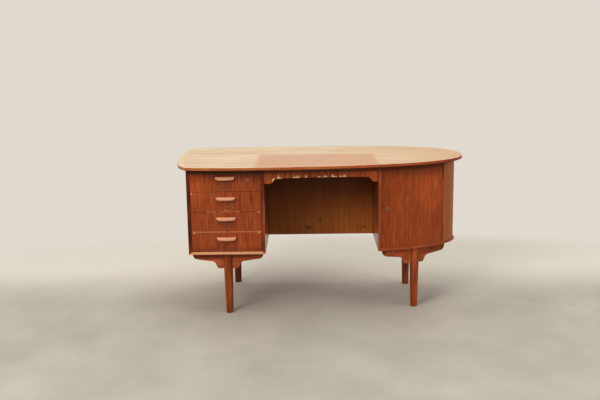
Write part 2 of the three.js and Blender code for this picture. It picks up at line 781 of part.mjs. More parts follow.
function makeCabinet() {
  const frame = inset(frameOverhang);
  const face = inset(faceOverhang);
  const frontLeftY = yAtX(frameOverhang, cabinetLeftX, false);
  const frontInsideY = yAtX(frameOverhang, cabinetInsideX, false);
  const rearLeftY = yAtX(faceOverhang, cabinetLeftX, true);
  const rearInsideY = yAtX(faceOverhang, cabinetInsideX, true);
  const high = caseTopZ - glueGap;

  const sidePlan = [
    new THREE.Vector2(cabinetLeftX, frontLeftY),
    new THREE.Vector2(cabinetInsideX, frontInsideY),
    new THREE.Vector2(cabinetInsideX, rearInsideY),
    new THREE.Vector2(cabinetLeftX, rearLeftY),
  ];
  const slant = (frontInsideY - frontLeftY) / sideThickness;
  const funnel = bevelFunnel(
    { x: [cabinetLeftX, deskWidth], z: [caseBottomZ, deskHeight] },
    { x: [cabinetInsideX, deskWidth], z: [floorTopZ, deskHeight] },
    frontLeftY,
  );
  funnel.applyMatrix4(new THREE.Matrix4().set(
    1, 0, 0, 0,
    slant, 1, 0, -slant * cabinetLeftX,
    0, 0, 1, 0,
    0, 0, 0, 1,
  ));
  const shelfZ = [cabinetShelfZ, cabinetShelfZ + shelfThickness];
  const housing = slab(shelfPlan(glueGap), shelfZ[0] - glueGap, shelfZ[1] + glueGap);
  const mitre = mitredBottom(cabinetLeftX, deskWidth, 0);
  const side = cut(slab(sidePlan, caseBottomZ, high), funnel, housing, doorBoltPocket(), mitre);
  add('right_inner_side', side, teak);

  const rows = [
    [frameOverhang, caseBottomZ],
    [faceOverhang, floorTopZ],
  ].map(([distance, z]) => inset(distance).map((point) => new THREE.Vector3(point.x, point.y, z)));
  const keep = mitredBottom(cabinetLeftX, deskWidth, -glueGap);
  add('right_bottom', common(skin(rows, false, inset(frameOverhang)), keep), teak);

  const inner = inset(faceOverhang + shellThickness);
  const endPlace = placeOfX(face, cabinetInsideX + glueGap, true);
  const innerEnd = placeOfX(inner, cabinetInsideX + glueGap, true);
  const shellPlan = [
    ...stretch(face, seamPlace + halfSeam, endPlace),
    ...stretch(inner, seamPlace + halfSeam, innerEnd).reverse(),
  ];
  const shell = slab(shellPlan, floorTopZ + glueGap, high);
  add('right_end_shell', cut(shell, housing, ...hingeMortises(1)), teak);

  const boardDistance = faceOverhang + doorThickness + runningGap;
  const boardX = cabinetInsideX + glueGap;
  const board = slab(cabinetPlan(boardDistance, boardX), caseTopZ - topBoardThickness, high);
  const boardLine = inset(boardDistance + overrun);
  const lipEnd = seamPlace - halfSeam;
  const lipPlan = [
    ...stretch(face, placeOfX(face, boardX, false), lipEnd),
    ...stretch(boardLine, placeOfX(boardLine, boardX, false), lipEnd).reverse(),
  ];
  add('right_top_board', join(board, slab(lipPlan, drawerTopZ, high)), teak);
  add('cabinet_shelf', slab(shelfPlan(0), shelfZ[0], shelfZ[1]), teak);
}

function doorLevels() {
  return [floorTopZ + doorJoint, drawerTopZ - doorJoint];
}

function makeDoor() {
  const face = inset(faceOverhang);
  const inner = inset(faceOverhang + doorThickness);
  const left = cabinetInsideX + doorJoint;
  const plan = [
    ...stretch(face, placeOfX(face, left, false), seamPlace - halfSeam),
    ...stretch(inner, placeOfX(inner, left, false), seamPlace - halfSeam).reverse(),
  ];
  const lock = makeDoorLock();
  add('cabinet_door', cut(slab(plan, ...doorLevels()), ...hingeMortises(-1), ...lock), teak);
}

// The frame at the hinge seam: local X runs along the face away from the door, local Y
// runs into the case, and the pin is at its origin
function seamFrame(z) {
  const pin = seamPoint.clone().addScaledVector(seamNormal, hingePinStandOff);
  const angle = Math.atan2(seamNormal.x, -seamNormal.y);
  return new THREE.Matrix4().makeRotationZ(angle).setPosition(pin.x, pin.y, z);
}

function hingeCentres() {
  const [low, high] = doorLevels();
  return [
    ['upper', high - hingeInset - hingeLength / 2],
    ['lower', low + hingeInset + hingeLength / 2],
  ];
}

// What the leaves and knuckles take out of the door or the shell
function hingeMortises(side) {
  const reach = hingePinStandOff + hingeLeafWidth + glueGap;
  const half = hingeLength / 2 + glueGap;
  const x = [-side * overrun, side * (glueGap / 2 + hingeLeafThickness + glueGap)].sort((a, b) => a - b);
  return hingeCentres().flatMap(([, z]) => [
    block(x, [-overrun, reach], [-half, half]).applyMatrix4(seamFrame(z)),
    rod(knuckleRadius + glueGap, -half, half, knuckleSides).applyMatrix4(seamFrame(z)),
  ]);
}

// Butt hinges: the case leaf carries the pin and the odd knuckles, the door leaf the rest
function makeHinges() {
  const pitch = hingeLength / knuckleCount;
  for (const [level, z] of hingeCentres()) {
    const hinge = new THREE.Group();
    hinge.applyMatrix4(seamFrame(z));
    desk.add(hinge);
    for (const [owner, side] of [['case', 1], ['door', -1]]) {
      const leafX = [side * glueGap / 2, side * (glueGap / 2 + hingeLeafThickness)];
      const leafY = [0, hingePinStandOff + hingeLeafWidth];
      const leafZ = [-hingeLength / 2, hingeLength / 2];
      let piece = block(leafX.sort((a, b) => a - b), leafY, leafZ);
      const others = [];
      for (let i = 0; i < knuckleCount; i += 1) {
        const low = -hingeLength / 2 + pitch * i;
        const mine = (i % 2 === 0) === (side === 1);
        const room = mine ? -glueGap / 2 : glueGap / 2;
        const radius = mine ? knuckleRadius : knuckleRadius + glueGap;
        const knuckle = rod(radius, low - room, low + pitch + room, knuckleSides);
        if (mine) {
          piece = join(piece, knuckle);
        } else {
          others.push(knuckle);
        }
      }
      piece = cut(piece, ...others);
      const pinRadius = side === 1 ? hingePinRadius : hingePinRadius + pinClearance;
      const beyond = (1 - side) * overrun;
      const pin = rod(pinRadius, leafZ[0] - beyond, leafZ[1] + beyond, pinSides);
      piece = side === 1 ? join(piece, pin) : cut(piece, pin);
      add(level + '_hinge_' + owner + '_leaf', piece, brass, hinge);
    }
  }
}

// The point and the direction of the door's face at its keyhole
function doorKeyLine() {
  const face = inset(faceOverhang);
  const place = placeOfX(face, cabinetInsideX + doorKeyInset, false);
  const point = pointAt(face, place);
  const along = pointAt(face, Math.floor(place) + 1).sub(point).normalize();
  return { point, along };
}

// The frame at the door's keyhole: local Y runs into the door, square to its face
function doorKeyFrame() {
  const { point, along } = doorKeyLine();
  const matrix = new THREE.Matrix4().makeRotationZ(Math.atan2(along.y, along.x));
  return matrix.setPosition(point.x, point.y, doorKeyZ);
}

// The lock's left end in that frame, clear of the door's edge through its whole thickness
function doorLockLeft() {
  const { along } = doorKeyLine();
  const edge = (doorJoint - doorKeyInset) / along.x;
  return edge + doorThickness * along.y / along.x + runningGap;
}

// The door bolt's space in the frame of its keyhole, moved out by one amount
function doorBoltBlock(out, room) {
  const left = doorLockLeft() - out;
  const y = doorThickness - lockDepth / 2;
  return block(
    [left, left + boltLength],
    [y - boltThickness / 2 - room, y + boltThickness / 2 + room],
    [-boltWidth / 2 - room, boltWidth / 2 + room],
  );
}

function doorBoltPocket() {
  return doorBoltBlock(boltPocketDepth, 2 * glueGap).applyMatrix4(doorKeyFrame());
}

function makeDoorLock() {
  const frame = doorKeyFrame();
  const lock = new THREE.Group();
  lock.applyMatrix4(frame);
  desk.add(lock);
  const left = doorLockLeft();
  const y = [doorThickness - lockDepth, doorThickness - glueGap];
  const z = [-lockWidth / 2, lockWidth / 2];
  const body = block([left, left + lockHeight], y, z);
  const channel = join(doorBoltBlock(overrun, glueGap), doorBoltBlock(-glueGap, glueGap));
  const key = keyhole(0, 0, -overrun, doorThickness - lockDepth / 2, glueGap);
  add('door_lock', cut(body, channel, key), steel, lock);
  add('door_lock_bolt', doorBoltBlock(0, 0), brass, lock);
  makeRim('door_keyhole_rim', lock);
  const pocket = block(
    [left - 2 * overrun, left + lockHeight + glueGap],
    [y[0] - glueGap, doorThickness + overrun],
    [z[0] - glueGap, z[1] + glueGap],
  );
  return [pocket, key, rimSeat()].map((cutter) => cutter.applyMatrix4(frame));
}

// A turned leg, slotted at its top over the bracket board
function leg() {
  const profile = [
    new THREE.Vector2(0, 0),
    new THREE.Vector2(legFootRadius - legFootArris, 0),
    new THREE.Vector2(legFootRadius, legFootArris),
    new THREE.Vector2(legTopRadius, caseBottomZ - glueGap),
    new THREE.Vector2(0, caseBottomZ - glueGap),
  ];
  const turned = new THREE.LatheGeometry(profile, roundSides);
  turned.rotateX(Math.PI / 2);
  const half = bracketThickness / 2 + glueGap;
  const slot = block(
    [-2 * legTopRadius, 2 * legTopRadius],
    [-half, half],
    [caseBottomZ - bracketMiddleHeight - glueGap, caseBottomZ + overrun],
  );
  return cut(facingOut(turned.toNonIndexed()), slot);
}

// A bracket board: slanting ends, a slight slope, an ogee and a deep middle behind the leg
function bracket(half) {
  const top = caseBottomZ - glueGap;
  const endZ = caseBottomZ - bracketEndHeight;
  const shoulderZ = caseBottomZ - bracketShoulderHeight;
  const middleZ = caseBottomZ - bracketMiddleHeight;
  const run = bracketShoulderX - bracketFootX;
  const shoulderX = bracketShoulderX - run * bracketShoulderHandleShare;
  const footX = bracketFootX + run * bracketFootHandleShare;
  const nearX = half - bracketCornerRun;
  const roundX = half - bracketCornerRun * bracketCornerShare;
  const roundZ = endZ + bracketCornerRise * bracketCornerShare;
  const shape = new THREE.Shape();
  shape.moveTo(-half, top);
  shape.lineTo(-half, endZ + bracketCornerRise);
  shape.quadraticCurveTo(-roundX, roundZ, -nearX, endZ);
  shape.lineTo(-bracketShoulderX, shoulderZ);
  shape.bezierCurveTo(-shoulderX, shoulderZ, -footX, middleZ, -bracketFootX, middleZ);
  shape.lineTo(bracketFootX, middleZ);
  shape.bezierCurveTo(footX, middleZ, shoulderX, shoulderZ, bracketShoulderX, shoulderZ);
  shape.lineTo(nearX, endZ);
  shape.quadraticCurveTo(roundX, roundZ, half, endZ + bracketCornerRise);
  shape.lineTo(half, top);
  return upright(shape, -bracketThickness / 2, bracketThickness / 2);
}

function makeTrestles() {
  const leftX = pedestalLeftX + pedestalWidth / 2;
  const rightX = deskWidth / 2 - rightLegInset;
  const turn = THREE.MathUtils.degToRad(rightBracketTurn);
  const leftBoard = [pedestalWidth / 2 - bracketEndInset, 0];
  const rightBoard = [rightBracketHalfLength, rightBracketShift];
  const places = [
    ['left_front', leftX, pedestalFrontY + legFrontInset, 0, ...leftBoard],
    ['left_rear', leftX, backY - legBackInset, 0, ...leftBoard],
    ['right_front', rightX, rightLegFrontInset - deskDepth / 2, turn, ...rightBoard],
    ['right_rear', rightX, deskDepth / 2 - rightLegBackInset, -turn, ...rightBoard],
  ];
  for (const [place, x, y, angle, half, shift] of places) {
    const trestle = new THREE.Group();
    trestle.position.set(x, y, 0);
    trestle.rotation.z = angle;
    desk.add(trestle);
    add(place + '_leg', leg(), legTeak, trestle);
    add(place + '_bracket', bracket(half).translate(-shift, 0, 0), legTeak, trestle);
  }
}

makeDesktop();
makeLeftPedestal();
for (let index = 0; index < drawerCount; index += 1) {
  makeDrawer(index);
}
makeApron();
makeKneeholeAndBookcase();
makeCabinet();
makeDoor();
makeHinges();
makeTrestles();

export default desk;
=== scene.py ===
# A writing desk with a half-egg top over a bank of drawers, a kneehole and a round-ended
# cabinet. It is teak, bleached by the sun on top and red-brown below.
# Every length is in metres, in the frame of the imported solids.
import math

import bmesh
import bpy
from mathutils import Matrix, Vector


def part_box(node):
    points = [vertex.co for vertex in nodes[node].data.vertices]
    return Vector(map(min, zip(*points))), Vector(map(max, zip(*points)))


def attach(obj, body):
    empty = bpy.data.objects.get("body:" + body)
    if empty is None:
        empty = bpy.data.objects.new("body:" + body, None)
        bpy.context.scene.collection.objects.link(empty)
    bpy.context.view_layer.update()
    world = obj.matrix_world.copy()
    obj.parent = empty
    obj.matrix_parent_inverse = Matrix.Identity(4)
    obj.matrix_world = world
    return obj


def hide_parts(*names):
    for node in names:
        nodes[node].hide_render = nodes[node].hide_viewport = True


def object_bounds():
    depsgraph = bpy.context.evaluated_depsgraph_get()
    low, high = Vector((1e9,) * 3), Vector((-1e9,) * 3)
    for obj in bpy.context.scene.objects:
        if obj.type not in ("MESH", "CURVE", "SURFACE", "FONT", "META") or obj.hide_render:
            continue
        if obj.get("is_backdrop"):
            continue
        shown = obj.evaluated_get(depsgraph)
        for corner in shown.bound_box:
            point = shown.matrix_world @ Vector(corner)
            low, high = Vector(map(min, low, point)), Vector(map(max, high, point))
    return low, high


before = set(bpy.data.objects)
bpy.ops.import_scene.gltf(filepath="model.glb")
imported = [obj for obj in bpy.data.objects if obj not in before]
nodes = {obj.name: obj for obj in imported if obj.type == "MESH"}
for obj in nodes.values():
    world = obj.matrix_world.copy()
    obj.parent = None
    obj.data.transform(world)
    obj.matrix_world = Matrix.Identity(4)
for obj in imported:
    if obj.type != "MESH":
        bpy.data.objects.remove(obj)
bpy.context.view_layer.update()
scene = bpy.context.scene


# The camera
# It stands 4.2 m in front of the desk and 1.37 m above its floor, and looks down by 11.5
# degrees, a little to the left, through a 51 mm lens.
def placed(name, data):
    """Puts a mesh, a lamp or the camera in the scene as an object."""
    made = bpy.data.objects.new(name, data)
    scene.collection.objects.link(made)
    return made


yaw, pitch, roll = -0.01282, 0.20167, 0.01491
ahead = Vector((math.sin(yaw) * math.cos(pitch), math.cos(yaw) * math.cos(pitch), -math.sin(pitch)))
level = Vector((math.cos(yaw), -math.sin(yaw), 0))
down = ahead.cross(level)
across = math.cos(roll) * level + math.sin(roll) * down
upright = math.sin(roll) * level - math.cos(roll) * down
aim = Matrix((across, upright, -ahead)).transposed().to_4x4()
camera_data = bpy.data.cameras.new("camera")
camera_data.sensor_width = 36
camera_data.lens = 51
camera = placed("camera", camera_data)
camera.matrix_world = Matrix.Translation((-0.053, -4.2355, 1.3748)) @ aim
scene.camera = camera


# The room
# A pale concrete floor that fades into a pale wall, under an even sky light, a large soft
# lamp at the front left, one overhead and a weak one at the right.
def linear(code):
    """A written sRGB colour as linear red, green, blue and alpha."""
    parts = [int(code[i : i + 2], 16) / 255 for i in (1, 3, 5)]
    return [c / 12.92 if c < 0.04045 else ((c + 0.055) / 1.055) ** 2.4 for c in parts] + [1]


def add(tree, kind, sources=None, **settings):
    """Adds one node, sets its properties, and gives its sockets a value or a link. A node
    among the values stands for its first output that is in use."""
    made = tree.nodes.new(kind)
    for key, value in settings.items():
        setattr(made, key, value)
    for key, value in (sources or {}).items():
        if isinstance(value, bpy.types.Node):
            value = next(output for output in value.outputs if output.enabled)
        if isinstance(value, bpy.types.NodeSocket):
            tree.links.new(value, made.inputs[key])
        else:
            made.inputs[key].default_value = value
    return made


def stops(ramp, colours):
    """Sets a colour ramp's stops, each a place and a written colour."""
    elements = ramp.color_ramp.elements
    for i, (spot, code) in enumerate(colours):
        element = elements[i] if i < 2 else elements.new(spot)
        element.position = spot
        element.color = linear(code)


def in_view(tree):
    """1 for what the camera sees, straight, mirrored or through glass, and 0 for lighting."""
    rays = add(tree, "ShaderNodeLightPath").outputs
    seen = rays["Is Camera Ray"]
    for kind in ("Is Glossy Ray", "Is Transmission Ray"):
        seen = add(tree, "ShaderNodeMath", {0: seen, 1: rays[kind]}, operation="MAXIMUM").outputs[0]
    return seen


def bare_finish(name):
    """A material without a surface yet, its tree, and the place of each point on its piece."""
    material = bpy.data.materials.new(name)
    material.use_nodes = True
    tree = material.node_tree
    tree.nodes.clear()
    return material, tree, add(tree, "ShaderNodeTexCoord").outputs["Object"]


wall_colour = linear("#e0d9cf")
world = bpy.data.worlds.new("pale room")
scene.world = world
world.use_nodes = True
sky = world.node_tree
sky.nodes.clear()
way = add(sky, "ShaderNodeTexCoord").outputs["Generated"]
rise = add(sky, "ShaderNodeSeparateXYZ", {"Vector": way}).outputs["Z"]
overhead = add(sky, "ShaderNodeMapRange", {
    "Value": rise, "From Min": 0.1, "From Max": 0.9, "To Min": 0.14, "To Max": 0.9},
    interpolation_type="SMOOTHSTEP")
glow = add(sky, "ShaderNodeBackground", {"Color": linear("#f7f9fc"), "Strength": overhead})
shown = add(sky, "ShaderNodeBackground", {"Color": wall_colour, "Strength": 1})
both = add(sky, "ShaderNodeMixShader", {0: in_view(sky), 1: glow, 2: shown})
add(sky, "ShaderNodeOutputWorld", {"Surface": both})

# Trowelled concrete: matt, with clouds of about half a metre, and painted paler behind the
# desk towards the wall, as painted light that lifts the desk's shadow there.
concrete, tree, place = bare_finish("trowelled concrete")
clouds = add(tree, "ShaderNodeTexNoise", {
    "Vector": place, "Scale": 2.2, "Detail": 6, "Roughness": 0.6})
tone = add(tree, "ShaderNodeValToRGB", {"Fac": clouds})
stops(tone, ((0.3, "#aba391"), (0.7, "#c1b9a7")))
along = add(tree, "ShaderNodeSeparateXYZ", {"Vector": place}).outputs["Y"]
back = add(tree, "ShaderNodeMapRange", {"Value": along, "From Min": -0.1, "From Max": 0.6},
           interpolation_type="SMOOTHSTEP")
tone = add(tree, "ShaderNodeMix", {0: back, 6: tone, 7: linear("#e3dac6")}, data_type="RGBA")
ground = add(tree, "ShaderNodeBsdfPrincipled", {"Base Color": tone, "Roughness": 0.75})
# It fades into the wall's colour outside a long oval round the desk.
oval = add(tree, "ShaderNodeVectorMath", {0: place, 1: (0.5, 1, 1), 2: (0, 0.25, 0)},
           operation="MULTIPLY_ADD")
reach = add(tree, "ShaderNodeVectorMath", {0: oval}, operation="LENGTH")
fade = add(tree, "ShaderNodeMapRange", {"Value": reach, "From Min": 1.36, "From Max": 1.66},
           interpolation_type="SMOOTHSTEP")
pale = add(tree, "ShaderNodeMath", {0: in_view(tree), 1: fade}, operation="MULTIPLY")
wall = add(tree, "ShaderNodeEmission", {"Color": wall_colour})
cover = add(tree, "ShaderNodeMixShader", {0: pale, 1: ground, 2: wall})
add(tree, "ShaderNodeOutputMaterial", {"Surface": cover})

floor_radius = 14
floor_work = bmesh.new()
bmesh.ops.create_circle(floor_work, cap_ends=True, segments=96, radius=floor_radius)
floor_mesh = bpy.data.meshes.new("floor")
floor_work.to_mesh(floor_mesh)
floor_work.free()
floor_mesh.materials.append(concrete)
placed("floor", floor_mesh)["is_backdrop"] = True

desk_middle = Vector((0, 0, 0.45))
for name, spot, size, power in (
    ("window at the front left", (-3.4, -5.2, 3.9), 2.8, 212),
    ("ceiling", (0, -0.2, 4.4), 3.5, 44),
    ("window at the right", (4.2, -2.4, 2.2), 1.8, 30),
):
    lamp_data = bpy.data.lights.new(name, "AREA")
    lamp_data.size = size
    lamp_data.energy = power
    lamp = placed(name, lamp_data)
    lamp.location = spot
    lamp.rotation_mode = "QUATERNION"
    lamp.rotation_quaternion = (desk_middle - Vector(spot)).to_track_quat("-Z", "Y")


# The left pedestal
# Two sides, a bottom, a back and a top board of veneered teak, glued up with their front
# edges bevelled in towards the drawers. The bottom's bevel is bleached by the sun.
def painted(material, amount, colour, blend="MIX"):
    """Lays a colour over a finish, or multiplies it in, by an amount from 0 to 1."""
    tree = material.node_tree
    base = tree.nodes["Principled BSDF"].inputs["Base Color"]
    if isinstance(colour, str):
        colour = linear(colour)
    mixed = add(tree, "ShaderNodeMix", {0: amount, 6: base.links[0].from_socket, 7: colour},
                data_type="RGBA", blend_type=blend)
    tree.links.new(mixed.outputs[2], base)


def teak(name, colours, grain="z", seed=0, flame=0.35, broad=0.75, fine=(0.009, 0.35), under=(),
         gloss=0.46, shine=0.2, pores="#4a1c0c"):
    """Plain-sawn teak under a worn satin lacquer, with its grain along one axis. Flame-shaped
    growth rings, broad bands and fine streaks of a given width and length add up to the tone
    that picks a colour. Short dark pores lie over it: they are 0.3 mm wide, and are drawn
    0.9 mm wide so that they show. Just under the desktop, painted shade of its overhang darkens
    the wood by up to two shares, the first in a strip of 16 mm and the second in one of 42 mm."""
    material, tree, place = bare_finish(name)
    patterns = {}
    for part, wide, long, detail in (("bands", 0.13, 1.3, 1.5), ("rings", 0.075, 0.75, 1),
                                     ("streaks", *fine, 3), ("pores", 0.0009, 0.016, 1)):
        scale = [1 / wide] * 3
        scale["xyz".index(grain)] = 1 / long
        spot = add(tree, "ShaderNodeMapping", {
            "Vector": place, "Scale": scale, "Location": (seed, 0.7 * seed, 1.3 * seed)})
        patterns[part] = add(tree, "ShaderNodeTexNoise", {
            "Vector": spot, "Scale": 1, "Detail": detail, "Roughness": 0.55,
            "Distortion": 0.35 if part == "rings" else 0})
    turns = add(tree, "ShaderNodeMath", {0: patterns["rings"], 1: 46}, operation="MULTIPLY")
    wave = add(tree, "ShaderNodeMath", {0: turns}, operation="SINE")
    streaky = 0.95 - 0.6 * flame
    total = 0.5 - streaky / 2 - broad / 2
    for source, weight in ((wave, 0.5 * flame), (patterns["streaks"], streaky),
                           (patterns["bands"], broad)):
        total = add(tree, "ShaderNodeMath", {0: source, 1: weight, 2: total},
                    operation="MULTIPLY_ADD")
    figure = add(tree, "ShaderNodeValToRGB", {"Fac": total})
    stops(figure, colours)
    holes = add(tree, "ShaderNodeMapRange", {
        "Value": patterns["pores"], "From Min": 0.62, "From Max": 0.72, "To Max": 0.55})
    rough = add(tree, "ShaderNodeMapRange", {
        "Value": patterns["streaks"], "To Min": gloss - 0.06, "To Max": gloss + 0.1})
    relief = add(tree, "ShaderNodeMath", {0: holes, 1: -0.6, 2: patterns["streaks"]},
                 operation="MULTIPLY_ADD")
    bump = add(tree, "ShaderNodeBump", {"Height": relief, "Strength": 0.2, "Distance": 0.0004})
    shader = add(tree, "ShaderNodeBsdfPrincipled", {
        "Base Color": figure, "Roughness": rough, "Normal": bump, "IOR": 1.45,
        "Specular IOR Level": shine})
    add(tree, "ShaderNodeOutputMaterial", {"Surface": shader})
    painted(material, holes, pores)
    # Painted shade of the desktop's overhang, in one or two strips under it.
    for share, (low, high, fading) in zip(under, ((0.689, 0.705, "SMOOTHSTEP"),
                                                  (0.65, 0.692, "LINEAR"))):
        height = add(tree, "ShaderNodeSeparateXYZ", {"Vector": place}).outputs["Z"]
        shade = add(tree, "ShaderNodeMapRange", {
            "Value": height, "From Min": low, "From Max": high, "To Min": 1, "To Max": 1 - share},
            interpolation_type=fading)
        painted(material, 1, shade, "MULTIPLY")
    return material


def opened(material):
    """A finish's tree, and the place of each point on its piece."""
    tree = material.node_tree
    return tree, tree.nodes["Texture Coordinate"].outputs["Object"]


def toned(material, *spots):
    """Lightens or darkens a finish in soft upright ovals through the whole depth, mostly as
    painted light and shade: each has its middle's X and Z, its half width and half height,
    and the factor in its middle."""
    tree, place = opened(material)
    for middle, (wide, high), factor in spots:
        oval = add(tree, "ShaderNodeMapping", {
            "Vector": place, "Location": (middle[0], 0, middle[1]), "Scale": (wide, 1000, high)},
            vector_type="TEXTURE")
        away = add(tree, "ShaderNodeVectorMath", {0: oval}, operation="LENGTH")
        tone = add(tree, "ShaderNodeMapRange", {
            "Value": away, "From Min": 0.3, "From Max": 1.3, "To Min": factor, "To Max": 1},
            interpolation_type="SMOOTHSTEP")
        painted(material, 1, tone, "MULTIPLY")


def carried(piece, body, stands_for=()):
    """Lets a piece ride on a body, in place of the solids that it stands for."""
    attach(piece, body)
    if stands_for:
        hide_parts(*stands_for)


def finished(name, work, body, finishes, stands_for, smooth=16):
    """Turns worked-up faces into a piece, with sharp edges where they bend by more than smooth."""
    mesh = bpy.data.meshes.new(name)
    work.to_mesh(mesh)
    work.free()
    mesh.set_sharp_from_angle(angle=math.radians(smooth))
    for finish in finishes:
        mesh.materials.append(finish)
    piece = placed(name, mesh)
    carried(piece, body, stands_for)
    return piece


def dressed(node, body, slot, *finishes, arris=0.0007, choose=None):
    """The board of one solid as the joiner leaves it: the same shape with its outer edges
    eased by the arris. choose() gives the number of each face's finish."""
    work = bmesh.new()
    work.from_mesh(nodes[node].data)
    bmesh.ops.remove_doubles(work, verts=work.verts, dist=1e-5)
    bmesh.ops.dissolve_limit(work, angle_limit=math.radians(0.3), verts=work.verts,
                             edges=work.edges)
    outer = [edge for edge in work.edges if len(edge.link_faces) == 2
             and edge.calc_length() > 5 * arris
             and edge.calc_face_angle_signed(0) > math.radians(35)]
    bmesh.ops.bevel(work, geom=outer, offset=arris, segments=2, profile=0.5, affect="EDGES",
                    clamp_overlap=True, material=-1)
    for face in work.faces:
        face.smooth = True
        if choose:
            face.material_index = choose(face)
    finished("dressed_" + node, work, body, finishes, [node])


def bevel_only(face):
    """Gives the second finish to a bevelled front edge and the first to the rest."""
    return 1 if -0.9 < face.normal.y < -0.3 and face.calc_area() > 1e-5 else 0


# Lacquered teak: a deep red-brown with darker flames, darkest on the outer side's front edge,
# which also has painted shade under the desktop.
red_teak = ((0.22, "#772c0b"), (0.42, "#903a12"), (0.6, "#a14617"), (0.8, "#b3541f"))
case_teak = teak("lacquered teak, upright grain", red_teak)
plain_teak = teak("lacquered teak, lying grain", red_teak, grain="y", seed=5)
dark_teak = teak(
    "lacquered teak, darkened front edge",
    ((0.2, "#401407"), (0.45, "#5a220b"), (0.65, "#732c15"), (0.85, "#8f3b1a")),
    seed=2, under=(0.5,))
# The stile beside the kneehole, with its corner rubbed pale, painted shade under the
# desktop, and darker low down.
stile_teak = teak(
    "lacquered teak, worn front edge",
    ((0.2, "#60240a"), (0.45, "#823714"), (0.65, "#9a4c20"), (0.85, "#ba7039")),
    seed=3, under=(0.7,))
tree, place = opened(stile_teak)
axes = add(tree, "ShaderNodeSeparateXYZ", {"Vector": place}).outputs
corner_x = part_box("left_inner_side")[1].x
near = add(tree, "ShaderNodeMapRange", {
    "Value": axes["X"], "From Min": corner_x - 0.005, "From Max": corner_x - 0.002})
rise = add(tree, "ShaderNodeMapRange", {"Value": axes["Z"], "From Min": 0.43, "From Max": 0.58})
length = add(tree, "ShaderNodeValToRGB", {"Fac": rise})
stops(length, ((0.02, "#000000"), (0.2, "#c0c0c0"), (0.75, "#e0e0e0"), (0.98, "#000000")))
worn = add(tree, "ShaderNodeMath", {0: near, 1: length}, operation="MULTIPLY")
painted(stile_teak, worn, "#a07a62")
toned(stile_teak, ((corner_x, 0.35), (0.05, 0.045), 0.52))
# Teak that the sun has bleached to a pale orange, with faint streaks.
rail_teak = teak(
    "sun-bleached teak rail",
    ((0.2, "#bc784d"), (0.42, "#ce8e62"), (0.6, "#d8986d"), (0.8, "#dfa479")),
    grain="x", seed=4, flame=0.15, pores="#8a5632")
# The kneehole's sides, rubbed smooth by knees, with a painted reflection of the floor
# that lightens them low down.
smooth_teak = teak(
    "polished teak beside the knees",
    ((0.22, "#521e08"), (0.42, "#6c2c10"), (0.6, "#80381a"), (0.8, "#964824")),
    seed=13, gloss=0.26, shine=0.3)
toned(smooth_teak, ((0, 0.31), (100, 0.14), 1.7))

dressed("left_outer_side", "case", "case_wood", case_teak, dark_teak, choose=bevel_only)
dressed("left_inner_side", "case", "case_wood", case_teak, stile_teak, smooth_teak,
        choose=lambda face: 2 if face.normal.x > 0.99 else bevel_only(face))
dressed("left_bottom", "case", "case_wood", plain_teak, rail_teak, choose=bevel_only)
dressed("left_top_board", "case", "case_wood", plain_teak, stile_teak, choose=bevel_only)
dressed("left_back", "case", "case_wood", case_teak)

# The drawers
# Four equal fronts of straight-grained teak veneer, worn pale along the joints and dark
# below the pulls where hands reach, on dovetailed boxes of pale planed beech.
drawer_pitch = 0.097875
drawer_top = 0.709
drawer_middle_x = -0.457
drawer_face_y = -0.296
# Straight-grained teak: fine short streaks that nearly vanish from a few metres away, with
# painted shade under the desktop.
front_teak = teak(
    "straight-grained teak, handled",
    ((0.2, "#64230c"), (0.42, "#8e3b17"), (0.62, "#ac5022"), (0.85, "#cf723b")),
    seed=6, flame=0.06, broad=0.25, fine=(0.0042, 0.1), under=(0.7, 0.45), gloss=0.4)
# Painted light at the upper left and lower right of the bank, and painted shade along the foot of
# the lowest front.
toned(front_teak, ((-0.6, 0.645), (0.055, 0.1), 1.4), ((-0.35, 0.36), (0.07, 0.06), 1.13),
      ((-0.46, 0.323), (0.3, 0.022), 0.72))
# Where hands reach under the pulls it is soiled in upright strokes, 3 mm wide and 50 mm
# long, with bare fibres between them.
tree, place = opened(front_teak)
axes = add(tree, "ShaderNodeSeparateXYZ", {"Vector": place}).outputs
from_top = add(tree, "ShaderNodeMath", {0: drawer_top, 1: axes["Z"]}, operation="SUBTRACT")
in_drawer = add(tree, "ShaderNodeMath", {0: from_top, 1: drawer_pitch, 2: 0}, operation="WRAP")
from_middle = add(tree, "ShaderNodeMath", {0: axes["X"], 1: drawer_middle_x},
                  operation="SUBTRACT")
beside = add(tree, "ShaderNodeMath", {0: from_middle}, operation="ABSOLUTE")
touched = add(tree, "ShaderNodeMapRange", {
    "Value": beside, "From Min": 0.035, "From Max": 0.062, "To Min": 1, "To Max": 0},
    interpolation_type="SMOOTHSTEP")
below = add(tree, "ShaderNodeMapRange", {
    "Value": in_drawer, "From Min": 0.046, "From Max": 0.092, "To Min": 1, "To Max": 0.25},
    interpolation_type="SMOOTHSTEP")
under_pull = add(tree, "ShaderNodeMath", {0: in_drawer, 1: 0.044}, operation="GREATER_THAN")
for factor in (below, under_pull):
    touched = add(tree, "ShaderNodeMath", {0: touched, 1: factor}, operation="MULTIPLY")
stroke = add(tree, "ShaderNodeMapping", {"Vector": place, "Scale": (300, 1, 20)})
strokes = add(tree, "ShaderNodeTexNoise", {"Vector": stroke, "Scale": 1, "Detail": 2})
for start, end, most, code in ((0.36, 0.56, 0.75, "#4a200f"), (0.54, 0.66, 0.3, "#c48254")):
    strong = add(tree, "ShaderNodeMapRange", {
        "Value": strokes, "From Min": start, "From Max": end, "To Max": most})
    strong = add(tree, "ShaderNodeMath", {0: touched, 1: strong}, operation="MULTIPLY")
    painted(front_teak, strong, code)
